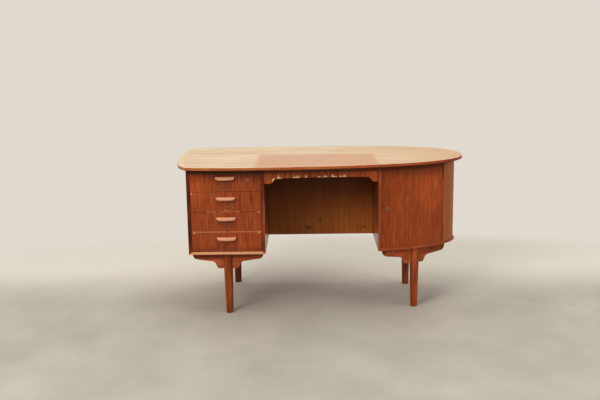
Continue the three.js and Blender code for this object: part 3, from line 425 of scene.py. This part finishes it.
# Each rubbed joint has its level, half its thickness, its ends, and the least of the nicks'
# noise that shows. The lower it is, the less the line is broken.
nick = add(tree, "ShaderNodeMapping", {"Vector": place, "Scale": (46, 46, 12)})
nicks = add(tree, "ShaderNodeTexNoise", {"Vector": nick, "Scale": 1, "Detail": 3})
for height, thick, start, end, least in (
    (0.4159, 0.0015, -0.63, -0.29, 0.33), (0.5138, 0.0012, -0.55, -0.39, 0.4),
    (0.5138, 0.0014, -0.31, -0.29, 0.2), (0.6117, 0.0009, -0.6, -0.45, 0.6),
):
    off = add(tree, "ShaderNodeMath", {0: axes["Z"], 1: height}, operation="SUBTRACT")
    off = add(tree, "ShaderNodeMath", {0: off}, operation="ABSOLUTE")
    worn = add(tree, "ShaderNodeMapRange", {
        "Value": off, "From Min": 2 * thick, "From Max": thick, "To Max": 0.85})
    for factor in (
        add(tree, "ShaderNodeMapRange", {
            "Value": nicks, "From Min": least, "From Max": least + 0.1}),
        add(tree, "ShaderNodeMath", {0: axes["X"], 1: start}, operation="GREATER_THAN"),
        add(tree, "ShaderNodeMath", {0: axes["X"], 1: end}, operation="LESS_THAN"),
    ):
        worn = add(tree, "ShaderNodeMath", {0: worn, 1: factor}, operation="MULTIPLY")
    painted(front_teak, worn, "#e0946a")
# Chips at the fronts' corners, and scratches under the second pull.
for x, z, wide, high in (
    (-0.62, 0.605, 0.004, 0.005), (-0.612, 0.411, 0.006, 0.005), (-0.3, 0.512, 0.006, 0.004),
    (-0.3, 0.411, 0.006, 0.004), (-0.459, 0.5205, 0.002, 0.009), (-0.427, 0.536, 0.0012, 0.01),
    (-0.436, 0.524, 0.004, 0.0014), (-0.444, 0.519, 0.005, 0.0012),
):
    chip = add(tree, "ShaderNodeMapping", {
        "Vector": place, "Location": (x, drawer_face_y, z), "Scale": (wide, 1, high)},
        vector_type="TEXTURE")
    away = add(tree, "ShaderNodeVectorMath", {0: chip}, operation="LENGTH")
    away = add(tree, "ShaderNodeMath", {0: away, 1: nicks}, operation="ADD")
    chip = add(tree, "ShaderNodeMapRange", {
        "Value": away, "From Min": 1.1, "From Max": 1.5, "To Min": 0.85, "To Max": 0})
    painted(front_teak, chip, "#ea9e78")

# Carved teak: pale where the sun has bleached it, and shinier from hands.
pull_teak = teak(
    "solid teak pull, polished by hands",
    ((0.2, "#d88d65"), (0.42, "#e8a079"), (0.62, "#f4b28c"), (0.85, "#f7c19d")),
    grain="x", seed=7, flame=0.2, gloss=0.34, pores="#8e4e30")
# Planed beech: straw-coloured, without lacquer, so nearly matt.
beech = teak(
    "planed beech", ((0.2, "#c69c6c"), (0.45, "#d4ae80"), (0.65, "#dfbd92"), (0.85, "#e8cba4")),
    grain="y", seed=8, flame=0.15, gloss=0.6, pores="#a87a4c")


def metal(name, colours, scale, detail, rough):
    """Bare metal, mottled by tarnish: scale is the number of spots in a metre. A pair as
    rough makes the dark spots and the light ones shine differently."""
    material, tree, place = bare_finish(name)
    stain = add(tree, "ShaderNodeTexNoise", {"Vector": place, "Scale": scale, "Detail": detail})
    tone = add(tree, "ShaderNodeValToRGB", {"Fac": stain})
    stops(tone, colours)
    if isinstance(rough, tuple):
        rough = add(tree, "ShaderNodeMapRange", {
            "Value": stain, "To Min": rough[0], "To Max": rough[1]})
    shader = add(tree, "ShaderNodeBsdfPrincipled", {
        "Base Color": tone, "Metallic": 1, "Roughness": rough})
    add(tree, "ShaderNodeOutputMaterial", {"Surface": shader})
    return material


# Cast brass with rubbed high spots, browner rolled brass, and grey steel without a shine.
dull_brass = metal("aged cast brass", ((0.3, "#7a4c34"), (0.55, "#a07254"), (0.75, "#c89c7c")),
                   420, 4, (0.3, 0.6))
brown_brass = metal("rolled brass, browned by tarnish",
                    ((0.3, "#96583a"), (0.55, "#b0704c"), (0.8, "#c48a62")), 240, 5, 0.55)
plain_steel = metal("rolled steel", ((0.3, "#6f6e6a"), (0.6, "#8d8c88"), (0.8, "#a3a29d")),
                    160, 5, 0.45)


def wear(node, finish):
    """Gives a solid that keeps its own mesh its finish."""
    nodes[node].data.materials.clear()
    nodes[node].data.materials.append(finish)


# A lip pull: its section starts at the top of the front, runs out over the lip and back
# under it to the finger hollow. Each point has its share of the reach and of the height.
pull_width = 0.092
pull_height = 0.017
pull_reach = 0.02
pull_section = (
    (0, 1), (0.55, 1), (0.9, 0.93), (1, 0.72), (0.98, 0.35), (0.84, 0.06),
    (0.66, 0), (0.55, 0.12), (0.45, 0.42), (0.3, 0.58), (0.12, 0.62), (0, 0.6),
)
pull_steps = 24
for number in range(1, 5):
    body = "drawer_%d" % number
    dressed(body + "_front", body, "case_wood", front_teak, arris=0.0006)
    for part in ("left_side", "right_side", "back", "bottom"):
        wear("%s_%s" % (body, part), beech)
    low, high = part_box(body + "_pull")
    centre = (low + high) / 2
    work = bmesh.new()
    rings = []
    for i in range(pull_steps + 1):
        along = math.sin((i / pull_steps - 0.5) * math.pi)
        side = abs(along)
        reach = pull_reach * (1 - 0.35 * side**4)
        drop = pull_height * (1 - 0.14 * side**2 - 0.3 * side**12)
        rings.append([work.verts.new((
            centre.x + along * pull_width / 2 * (1 - 0.05 * (1 - up)),
            high.y - reach * out,
            high.z - drop * (1 - up),
        )) for out, up in pull_section])
    for first, second in zip(rings, rings[1:]):
        for j in range(len(first)):
            k = (j + 1) % len(first)
            work.faces.new((first[j], first[k], second[k], second[j]))
    work.faces.new(rings[0][::-1])
    work.faces.new(rings[-1])
    bmesh.ops.recalc_face_normals(work, faces=work.faces)
    crease = work.edges.layers.float.new("crease_edge")
    for edge in work.edges:
        at_back = all(vert.co.y > high.y - 1e-5 for vert in edge.verts)
        at_end = any(len(face.verts) > 4 for face in edge.link_faces)
        edge[crease] = 1 if at_back else 0.75 if at_end else 0
    for face in work.faces:
        face.smooth = True
    pull = finished("carved_pull_%d" % number, work, body, [pull_teak],
                    [body + "_pull"], smooth=60)
    rounding = pull.modifiers.new("carved round", "SUBSURF")
    rounding.levels = rounding.render_levels = 2

wear("drawer_lock", plain_steel)
wear("drawer_lock_bolt", dull_brass)
dressed("drawer_keyhole_rim", "drawer_1", "brass", dull_brass, arris=0.0004)

# The kneehole
# An apron with ogee ends, chipped along its lower edge where chairs and knees met it, and
# a plain veneered panel behind, which carries the bookcase's two boards at the back.
apron_edge = 0.674
apron_bow = 0.09
# The apron is the case's red-brown teak, a little lighter and with faint flames, and with
# painted shade under the desktop.
apron_teak = teak(
    "teak apron with chipped veneer",
    ((0.2, "#6e2b11"), (0.42, "#913f1b"), (0.62, "#ad5125"), (0.85, "#c66a38")),
    seed=9, flame=0.15, broad=0.4, under=(0.6,))
# Bare pale wood shows where flakes broke off along the edge, torn in splits of 3 mm. Each
# flake has its middle, its half width and its height, and it comes to a point.
tree, place = opened(apron_teak)
axes = add(tree, "ShaderNodeSeparateXYZ", {"Vector": place}).outputs
split = add(tree, "ShaderNodeMapping", {"Vector": place, "Scale": (330, 1, 25)})
splits = add(tree, "ShaderNodeTexNoise", {
    "Vector": split, "Scale": 1, "Detail": 3, "Roughness": 0.6})
ragged = add(tree, "ShaderNodeMapRange", {
    "Value": splits, "From Min": 0.25, "From Max": 0.7, "To Min": 0.2, "To Max": 1.3})
height = 0
for x, half, high in (
    (-0.228, 0.006, 0.01), (-0.205, 0.008, 0.028), (-0.2, 0.014, 0.013), (-0.129, 0.009, 0.014),
    (-0.118, 0.006, 0.022), (-0.108, 0.006, 0.018), (-0.074, 0.006, 0.024),
    (-0.01, 0.014, 0.008), (0.018, 0.014, 0.012), (0.052, 0.009, 0.02), (0.066, 0.01, 0.011),
    (0.09, 0.008, 0.01), (0.107, 0.011, 0.015),
):
    off = add(tree, "ShaderNodeMath", {0: axes["X"], 1: x}, operation="SUBTRACT")
    off = add(tree, "ShaderNodeMath", {0: off}, operation="ABSOLUTE")
    flake = add(tree, "ShaderNodeMapRange", {
        "Value": off, "From Max": half, "To Min": high, "To Max": 0})
    height = add(tree, "ShaderNodeMath", {0: height, 1: flake}, operation="MAXIMUM")
held = add(tree, "ShaderNodeMath", {0: height, 1: 0.0005}, operation="GREATER_THAN")
height = add(tree, "ShaderNodeMath", {0: height, 1: ragged}, operation="MULTIPLY")
# The edge that they start from is highest in the middle, and falls by its bow times X squared.
bow = add(tree, "ShaderNodeMath", {0: axes["X"], 1: axes["X"]}, operation="MULTIPLY")
above = add(tree, "ShaderNodeMath", {0: bow, 1: apron_bow, 2: -apron_edge},
            operation="MULTIPLY_ADD")
above = add(tree, "ShaderNodeMath", {0: above, 1: axes["Z"]}, operation="ADD")
inside = add(tree, "ShaderNodeMath", {0: height, 1: above}, operation="SUBTRACT")
bare = add(tree, "ShaderNodeMapRange", {"Value": inside, "From Min": 0.0004, "From Max": 0.002})
bare = add(tree, "ShaderNodeMath", {0: bare, 1: held}, operation="MULTIPLY")
painted(apron_teak, bare, "#eab884")
dressed("kneehole_apron", "case", "case_wood", apron_teak)

# The panel is golden low down, with painted shade that darkens it under the top and towards
# the left, where the desk shades it, and with three dark scuffs.
panel_teak = teak(
    "teak panel, rubbed by shoes",
    ((0.2, "#8d4a1a"), (0.42, "#a3581f"), (0.62, "#ae6023"), (0.85, "#ba6b29")),
    seed=11, flame=0.1, broad=0.4, gloss=0.5)
tree, place = opened(panel_teak)
axes = add(tree, "ShaderNodeSeparateXYZ", {"Vector": place}).outputs
deep = add(tree, "ShaderNodeMapRange", {"Value": axes["Z"], "From Min": 0.72, "From Max": 0.34},
           interpolation_type="SMOOTHSTEP")
shade = add(tree, "ShaderNodeValToRGB", {"Fac": deep})
stops(shade, ((0, "#6e6054"), (0.3, "#a89c90"), (0.6, "#dcd4cc"), (1, "#ffffff")))
aside = add(tree, "ShaderNodeMapRange", {
    "Value": axes["X"], "From Min": 0.04, "From Max": 0.13, "To Min": 0.8, "To Max": 0.97},
    interpolation_type="SMOOTHSTEP")
for shadow in (shade, aside):
    painted(panel_teak, 1, shadow, "MULTIPLY")
ragged = add(tree, "ShaderNodeTexNoise", {"Vector": place, "Scale": 60, "Detail": 3})
for spot, size in (((-0.064, 0.096, 0.341), (0.026, 1, 0.012)),
                   ((0.222, 0.096, 0.342), (0.021, 1, 0.007)),
                   ((-0.006, 0.096, 0.385), (0.012, 1, 0.014))):
    scuff = add(tree, "ShaderNodeMapping", {"Vector": place, "Location": spot, "Scale": size},
                vector_type="TEXTURE")
    away = add(tree, "ShaderNodeVectorMath", {0: scuff}, operation="LENGTH")
    away = add(tree, "ShaderNodeMath", {0: away, 1: ragged}, operation="ADD")
    mark = add(tree, "ShaderNodeMapRange", {
        "Value": away, "From Min": 0.7, "From Max": 1.7, "To Min": 0.6, "To Max": 0},
        interpolation_type="SMOOTHSTEP")
    painted(panel_teak, mark, "#2c160c")
dressed("kneehole_panel", "case", "case_wood", panel_teak)
# The shelves are the case's teak with lying grain and weaker flames.
shelf_teak = teak("lacquered teak shelf", red_teak, grain="x", seed=12, flame=0.25)
for board in ("bookcase_bottom", "bookcase_shelf"):
    dressed(board, "case", "case_wood", shelf_teak)

# The round cabinet
# A straight side towards the kneehole, a bottom with a moulded edge, a bent shell round
# the end, and a bent door veneered in flame-figured teak on two butt hinges at its right.
door_teak = teak(
    "flame-figured teak door",
    ((0.2, "#762c0c"), (0.42, "#903c13"), (0.62, "#a3471c"), (0.85, "#ba5f2a")),
    seed=14, flame=0.12, broad=0.4, fine=(0.006, 0.06), under=(0.42, 0.36))
# A painted shadow line and painted shade darken its free edge, painted light brightens it
# towards the hinges, it is darker round the keyhole, and it has painted shade under the
# desktop.
door_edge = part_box("cabinet_door")[0].x
keyhole = sum(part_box("door_keyhole_rim"), Vector()) / 2
toned(door_teak, ((door_edge, 0.6), (0.04, 0.14), 0.74), ((door_edge, 0.52), (0.004, 0.4), 0.75),
      ((0.53, 0.6), (0.08, 0.1), 1.28), ((0.583, 0.51), (0.02, 0.15), 1.12),
      ((0.548, 0.5), (0.03, 0.05), 1.22), ((keyhole.x, keyhole.z), (0.03, 0.022), 0.85))
# The shell is browner, and painted paler as painted light from the window that it faces.
shell_teak = teak(
    "bent teak veneer, paler",
    ((0.2, "#8c441c"), (0.42, "#a35427"), (0.62, "#b1612e"), (0.85, "#c3723c")),
    seed=15, flame=0.2)
# The moulding and the stile catch the light, so their figure looks fainter.
moulding_teak = teak(
    "teak moulding, lightened by light",
    ((0.2, "#7b300f"), (0.42, "#8d3c17"), (0.62, "#98441d"), (0.85, "#a35226")),
    grain="x", seed=16, flame=0.1)
light_stile = teak(
    "teak stile, lightened edge",
    ((0.2, "#752c0f"), (0.45, "#903e19"), (0.65, "#a14b21"), (0.85, "#b56235")),
    seed=17, flame=0.1, under=(0.3,))
# A painted highlight near the top of the stile, which also has a little painted shade under the
# desktop.
toned(light_stile, ((0.27, 0.655), (0.05, 0.035), 1.5))
dressed("right_inner_side", "case", "case_wood", case_teak, light_stile, smooth_teak,
        choose=lambda face: 2 if face.normal.x < -0.99 else bevel_only(face))
dressed("right_bottom", "case", "case_wood", plain_teak, moulding_teak,
        choose=lambda face: 1 if 0.2 < face.normal.z < 0.9 else 0)
dressed("right_end_shell", "case", "case_wood", shell_teak)
dressed("right_top_board", "case", "case_wood", plain_teak)
dressed("cabinet_shelf", "case", "case_wood", shelf_teak)
dressed("cabinet_door", "door", "case_wood", door_teak)
wear("door_lock", plain_steel)
wear("door_lock_bolt", dull_brass)
dressed("door_keyhole_rim", "door", "brass", dull_brass, arris=0.0004)
for level_name in ("upper", "lower"):
    for leaf in ("case", "door"):
        wear("%s_hinge_%s_leaf" % (level_name, leaf), brown_brass)


# The hinges' screws
# Three slotted countersunk brass screws hold each leaf, flush with its face. They show
# when the door stands open.
def recipe(name, inputs):
    """A geometry tree with named inputs of the given kinds, and the sockets that give them."""
    tree = bpy.data.node_groups.new(name, "GeometryNodeTree")
    for label, kind in inputs.items():
        tree.interface.new_socket(label, in_out="INPUT", socket_type="NodeSocket" + kind)
    tree.interface.new_socket("Mesh", in_out="OUTPUT", socket_type="NodeSocketGeometry")
    return tree, add(tree, "NodeGroupInput").outputs


def served(tree, shape, finish):
    """Ends a recipe: its copies become one plain mesh, in its finish."""
    real = add(tree, "GeometryNodeRealizeInstances", {"Geometry": shape})
    surfaced = add(tree, "GeometryNodeSetMaterial", {"Geometry": real, "Material": finish})
    add(tree, "NodeGroupOutput", {"Mesh": surfaced})


def grow(name, start, tree, inputs):
    """Runs a recipe on a mesh, and keeps what comes out as an object without a modifier."""
    base = placed(name, start)
    modifier = base.modifiers.new("grow", "NODES")
    modifier.node_group = tree
    for item in tree.interface.items_tree:
        if item.name in inputs:
            modifier[item.identifier] = inputs[item.name]
    ready = base.evaluated_get(bpy.context.evaluated_depsgraph_get())
    mesh = bpy.data.meshes.new_from_object(ready)
    bpy.data.objects.remove(base)
    mesh.name = name
    mesh.shade_smooth()
    mesh.set_sharp_from_angle(angle=math.radians(25))
    return placed(name, mesh)


def set_out(name, piece, places, finish, body, stands_for=()):
    """Puts one copy of a piece at each place, which is a position and a turn, as one mesh."""
    tree, given = recipe("set out " + name, {
        "Places": "Geometry", "Piece": "Object", "Finish": "Material"})
    shape = add(tree, "GeometryNodeObjectInfo", {"Object": given["Piece"]},
                transform_space="ORIGINAL")
    turn = add(tree, "GeometryNodeInputNamedAttribute", {"Name": "turn"},
               data_type="FLOAT_VECTOR")
    copies = add(tree, "GeometryNodeInstanceOnPoints", {
        "Points": given["Places"], "Instance": shape.outputs["Geometry"],
        "Rotation": turn.outputs["Attribute"]})
    served(tree, copies, given["Finish"])
    points = bpy.data.meshes.new(name + " places")
    points.from_pydata([spot for spot, _ in places], [], [])
    turns = points.attributes.new("turn", "FLOAT_VECTOR", "POINT")
    for i, (_, angles) in enumerate(places):
        turns.data[i].vector = angles
    copied = grow(name, points, tree, {"Piece": piece, "Finish": finish})
    bpy.data.objects.remove(piece)
    carried(copied, body, stands_for)


screw_radius = 0.0032
screw_sides = 24
slot_half_width = 0.0004


def screw_head():
    """A flat slotted head, domed by a hair, that looks along its own +Z."""
    work = bmesh.new()
    turns = [2 * math.pi * k / screw_sides for k in range(screw_sides)]
    rings = []
    for share, height in ((1, 0), (0.96, 0.00004), (0.6, 0.00006)):
        radius = screw_radius * share
        rings.append([work.verts.new((radius * math.cos(turn), radius * math.sin(turn), height))
                      for turn in turns])
    for outer, inner in zip(rings, rings[1:]):
        for k in range(screw_sides):
            m = (k + 1) % screw_sides
            work.faces.new((outer[k], outer[m], inner[m], inner[k]))
    work.faces.new(rings[-1])
    corners = ((-1, -1), (1, -1), (1, 1), (-1, 1))
    work.faces.new([work.verts.new((screw_radius * 0.85 * x, slot_half_width * y, 0.00009))
                    for x, y in corners])
    work.faces.new(rings[0][::-1])
    mesh = bpy.data.meshes.new("screw")
    work.to_mesh(mesh)
    work.free()
    return placed("screw", mesh)


pin = Vector((0.603726, -0.126288, 0))
seam_turn = Matrix.Rotation(math.atan2(0.66382, 0.74789), 3, "Z")
leaf_face = 0.00017
leaf_middle = 0.0105
screw_spacing = 0.0265
for body, side in (("case", 1), ("door", -1)):
    places = []
    for hinge_height in (0.661, 0.3655):
        for step in (-1, 0, 1):
            spot = pin + seam_turn @ Vector((side * leaf_face, leaf_middle, 0))
            spot.z = hinge_height + step * screw_spacing
            face = (seam_turn @ Vector((-side, 0, 0))).to_track_quat("Z", "Y").to_euler()
            places.append((spot, face))
    set_out("hinge_screws_" + body, screw_head(), places, dull_brass, body)

# The trestles
# Four turned and tapered legs of solid teak, each slotted over a scalloped bracket board
# that is screwed up under the case. The right pair stands askew to follow the round end.
case_floor = 0.306
trestle_top = case_floor - 0.0003
askew = math.radians(22)
trestles = (((-0.457, -0.245, 0), 0), ((-0.457, 0.267, 0), 0),
            ((0.454, -0.177, 0), askew), ((0.454, 0.2, 0), -askew))
# Turned teak: red-brown and a little glossy. Each of the four legs gets its own painted
# light or shade, set by the place where a line across the floor meets it.
leg_teak = teak(
    "turned teak, lit unevenly by painted light",
    ((0.2, "#763015"), (0.42, "#9c461e"), (0.62, "#b45427"), (0.85, "#d06f38")),
    seed=18, flame=0.3, gloss=0.36)
tree, place = opened(leg_teak)
axes = add(tree, "ShaderNodeSeparateXYZ", {"Vector": place}).outputs
corner = add(tree, "ShaderNodeMath", {0: axes["Y"], 1: -1.6, 2: axes["X"]},
             operation="MULTIPLY_ADD")
corner = add(tree, "ShaderNodeMapRange", {"Value": corner, "From Min": -0.9, "From Max": 0.75})
painted_leg_light = add(tree, "ShaderNodeValToRGB", {"Fac": corner})
stops(painted_leg_light, ((0.05, "#a8a4a0"), (0.5, "#dedcda"), (0.63, "#acaaac"), (0.95, "#ffffff")))
painted(leg_teak, 1, painted_leg_light, "MULTIPLY")

# One leg is a drum that tapers to the foot, with the foot's edge rounded and a slot sawn
# down from its top for the bracket.
tree, given = recipe("turned leg", {
    "Blank": "Geometry", "Height": "Float", "Foot radius": "Float", "Top radius": "Float",
    "Rounding": "Float", "Slot width": "Float", "Slot floor": "Float", "Finish": "Material"})
drum = add(tree, "GeometryNodeMeshCylinder", {
    "Vertices": 72, "Side Segments": 22, "Radius": 1, "Depth": 2})
spot = add(tree, "GeometryNodeInputPosition")
part = add(tree, "ShaderNodeSeparateXYZ", {"Vector": spot}).outputs
share = add(tree, "ShaderNodeMath", {0: part["Z"], 1: 0.5, 2: 0.5}, operation="MULTIPLY_ADD")
share = add(tree, "ShaderNodeMath", {0: share, 1: 2}, operation="POWER")
rise = add(tree, "ShaderNodeMath", {0: share, 1: given["Height"]}, operation="MULTIPLY")
taper = add(tree, "ShaderNodeMapRange", {
    "Value": share, "To Min": given["Foot radius"], "To Max": given["Top radius"]})
gap = add(tree, "ShaderNodeMath", {0: given["Rounding"], 1: rise}, operation="SUBTRACT")
for operation, value in (("MAXIMUM", 0), ("POWER", 2), ("DIVIDE", given["Rounding"])):
    gap = add(tree, "ShaderNodeMath", {0: gap, 1: value}, operation=operation)
radius = add(tree, "ShaderNodeMath", {0: taper, 1: gap}, operation="SUBTRACT")
spread = add(tree, "ShaderNodeVectorMath", {0: spot, "Scale": radius}, operation="SCALE")
flat = add(tree, "ShaderNodeSeparateXYZ", {"Vector": spread}).outputs
where = add(tree, "ShaderNodeCombineXYZ", {"X": flat["X"], "Y": flat["Y"], "Z": rise})
turned = add(tree, "GeometryNodeSetPosition", {"Geometry": drum, "Position": where})
wide = add(tree, "ShaderNodeMath", {0: given["Top radius"], 1: 4}, operation="MULTIPLY")
size = add(tree, "ShaderNodeCombineXYZ", {
    "X": wide, "Y": given["Slot width"], "Z": given["Height"]})
saw = add(tree, "GeometryNodeMeshCube", {"Size": size})
lift = add(tree, "ShaderNodeMath", {0: given["Height"], 1: 0.5, 2: given["Slot floor"]},
           operation="MULTIPLY_ADD")
lifted = add(tree, "ShaderNodeCombineXYZ", {"Z": lift})
saw = add(tree, "GeometryNodeTransform", {"Geometry": saw, "Translation": lifted})
slotted = add(tree, "GeometryNodeMeshBoolean", {"Mesh 1": turned, "Mesh 2": saw},
              operation="DIFFERENCE")
served(tree, slotted, given["Finish"])
leg = grow("leg", bpy.data.meshes.new("leg"), tree, {
    "Height": trestle_top, "Foot radius": 0.0173, "Top radius": 0.0245, "Rounding": 0.0018,
    "Slot width": 0.0186, "Slot floor": trestle_top - 0.08, "Finish": leg_teak})
set_out("turned_legs", leg, [(spot, (0, 0, turn)) for spot, turn in trestles], leg_teak,
        "case", [side + end + "_leg" for side in ("left_", "right_")
                             for end in ("front", "rear")])

# Sawn teak: the legs' wood with lying grain, with painted shade along the case and at the
# far ends, and a painted highlight low on the left bracket.
bracket_teak = teak(
    "sawn teak bracket, oiled",
    ((0.2, "#7b3518"), (0.42, "#a14a25"), (0.62, "#b85a2e"), (0.85, "#d47746")),
    grain="x", seed=19, flame=0.1)
toned(bracket_teak, ((0, 0.3065), (100, 0.008), 0.45), ((-0.457, 0.288), (0.25, 0.011), 0.48),
      ((-0.53, 0.266), (0.045, 0.008), 1.8), ((-0.622, 0.28), (0.012, 0.012), 0.4),
      ((-0.292, 0.278), (0.014, 0.012), 0.55), ((0.3, 0.296), (0.016, 0.014), 0.45),
      ((0.32, 0.285), (0.06, 0.03), 0.8), ((0.58, 0.28), (0.09, 0.03), 0.6),
      ((0.61, 0.29), (0.02, 0.015), 0.5))
bracket_half_thickness = 0.009


def curved(corners, steps):
    """Points on the smooth curve from the first corner to the last, drawn to those between."""
    last = len(corners) - 1
    points = []
    for t in (k / steps for k in range(steps + 1)):
        pulls = [math.comb(last, i) * t**i * (1 - t) ** (last - i) for i in range(last + 1)]
        points.append(tuple(sum(pull * value for pull, value in zip(pulls, line))
                            for line in zip(*corners)))
    return points


def bracket(half, shift):
    """One board, upright on its long edge: round ends, and an ogee down to the middle."""
    outline = [(-half, trestle_top)]
    outline += curved(((-half, 0.294), (0.0045 - half, 0.2793), (0.015 - half, 0.273)), 8)
    outline += curved(((-0.084, 0.262), (-0.052, 0.262), (-0.06, 0.226), (-0.044, 0.226)), 16)
    outline += [(-x, z) for x, z in reversed(outline)]
    work = bmesh.new()
    front, back = ([work.verts.new((x + shift, y, z)) for x, z in outline]
                   for y in (-bracket_half_thickness, bracket_half_thickness))
    work.faces.new(front)
    work.faces.new(back[::-1])
    for k in range(len(outline)):
        m = (k + 1) % len(outline)
        work.faces.new((front[m], front[k], back[k], back[m]))
    bmesh.ops.recalc_face_normals(work, faces=work.faces)
    lower = [edge for edge in work.edges
             if abs(edge.verts[0].co.y - edge.verts[1].co.y) < 1e-6
             and min(vert.co.z for vert in edge.verts) < trestle_top - 1e-4]
    bmesh.ops.bevel(work, geom=lower, offset=0.0022, segments=3, profile=0.5, affect="EDGES",
                    clamp_overlap=True)
    mesh = bpy.data.meshes.new("bracket")
    work.to_mesh(mesh)
    work.free()
    return placed("bracket", mesh)


for side, half, shift, pair in (("left", 0.172, 0, trestles[:2]),
                                ("right", 0.17, -0.005, trestles[2:])):
    set_out(side + "_brackets", bracket(half, shift), [(spot, (0, 0, turn)) for spot, turn in pair],
            bracket_teak, "case", [side + "_front_bracket", side + "_rear_bracket"])

# The desktop
# A veneered board, bleached pale round a darker patch where a blotter lay, inside a solid
# teak lipping whose lower edge is planed back so that the top looks thin.

# Bleached teak: straw-coloured, with its grain along the desk and its flames nearly gone.
top_teak = teak(
    "teak veneer, bleached by the sun",
    ((0.2, "#d1ae86"), (0.42, "#dbbd97"), (0.62, "#e1c7a3"), (0.85, "#e5ceae")),
    grain="x", seed=20, flame=0.3, gloss=0.45, pores="#b98a5c")
# The lipping's top is bleached as pale, with fainter flames and pores.
rim_teak = teak(
    "bleached teak, top of the lipping",
    ((0.2, "#d5b48a"), (0.42, "#dcbf95"), (0.62, "#e1c9a1"), (0.85, "#e4d0ae")),
    grain="x", seed=23, flame=0.2, pores="#c0946a")
# The patch is pinker and ends softly on each side. The right end is a little more orange.
patch_sides = (("X", 1, -0.314), ("X", -1, 0.268), ("Y", 1, -0.5), ("Y", -1, 0.052))
patch_softness = 0.018
for finish, depth in ((top_teak, 0.62), (rim_teak, 0.5)):
    tree, place = opened(finish)
    axes = add(tree, "ShaderNodeSeparateXYZ", {"Vector": place}).outputs
    patch = depth
    for axis, inward, start in patch_sides:
        side = add(tree, "ShaderNodeMapRange", {
            "Value": axes[axis], "From Min": start - inward * patch_softness,
            "From Max": start + inward * patch_softness}, interpolation_type="SMOOTHSTEP")
        patch = add(tree, "ShaderNodeMath", {0: patch, 1: side}, operation="MULTIPLY")
    painted(finish, patch, "#c88a66")
    ripe = add(tree, "ShaderNodeMapRange", {
        "Value": axes["X"], "From Min": 0, "From Max": 0.6, "To Max": 0.5})
    painted(finish, ripe, "#cf9c6c")
# The lipping's edge is orange-brown at the left and redder to the right.
edge_teak = teak(
    "solid teak lipping",
    ((0.2, "#9d5627"), (0.42, "#b26434"), (0.62, "#c27641"), (0.85, "#d08b53")),
    grain="x", seed=21, flame=0.2)
tree, place = opened(edge_teak)
axes = add(tree, "ShaderNodeSeparateXYZ", {"Vector": place}).outputs
along = add(tree, "ShaderNodeMapRange", {"Value": axes["X"], "From Min": -0.7, "From Max": 0.6})
redder = add(tree, "ShaderNodeValToRGB", {"Fac": along})
stops(redder, ((0, "#fdf8f2"), (0.5, "#f0d4ca"), (1, "#d89a86")))
painted(edge_teak, 1, redder, "MULTIPLY")
# No sun reaches the underside, so it kept its dark colour, and it is painted darker still
# as painted shade under the top.
under_teak = teak(
    "unfaded teak underside",
    ((0.2, "#3c1a0c"), (0.45, "#4c2412"), (0.65, "#5c2f18"), (0.85, "#6e3c22")),
    grain="x", seed=22, flame=0.1)
dressed("desktop_panel", "case", "faded_veneer", top_teak, under_teak, arris=0.0002,
        choose=lambda face: 1 if face.normal.z < -0.5 else 0)
dressed("desktop_lipping", "case", "edge_lipping", edge_teak, rim_teak, under_teak, arris=0.0012,
        choose=lambda face: 1 if face.normal.z > 0.8 else 2 if face.normal.z < -0.3 else 0)

low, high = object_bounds()
scene.view_settings.view_transform = "Standard"
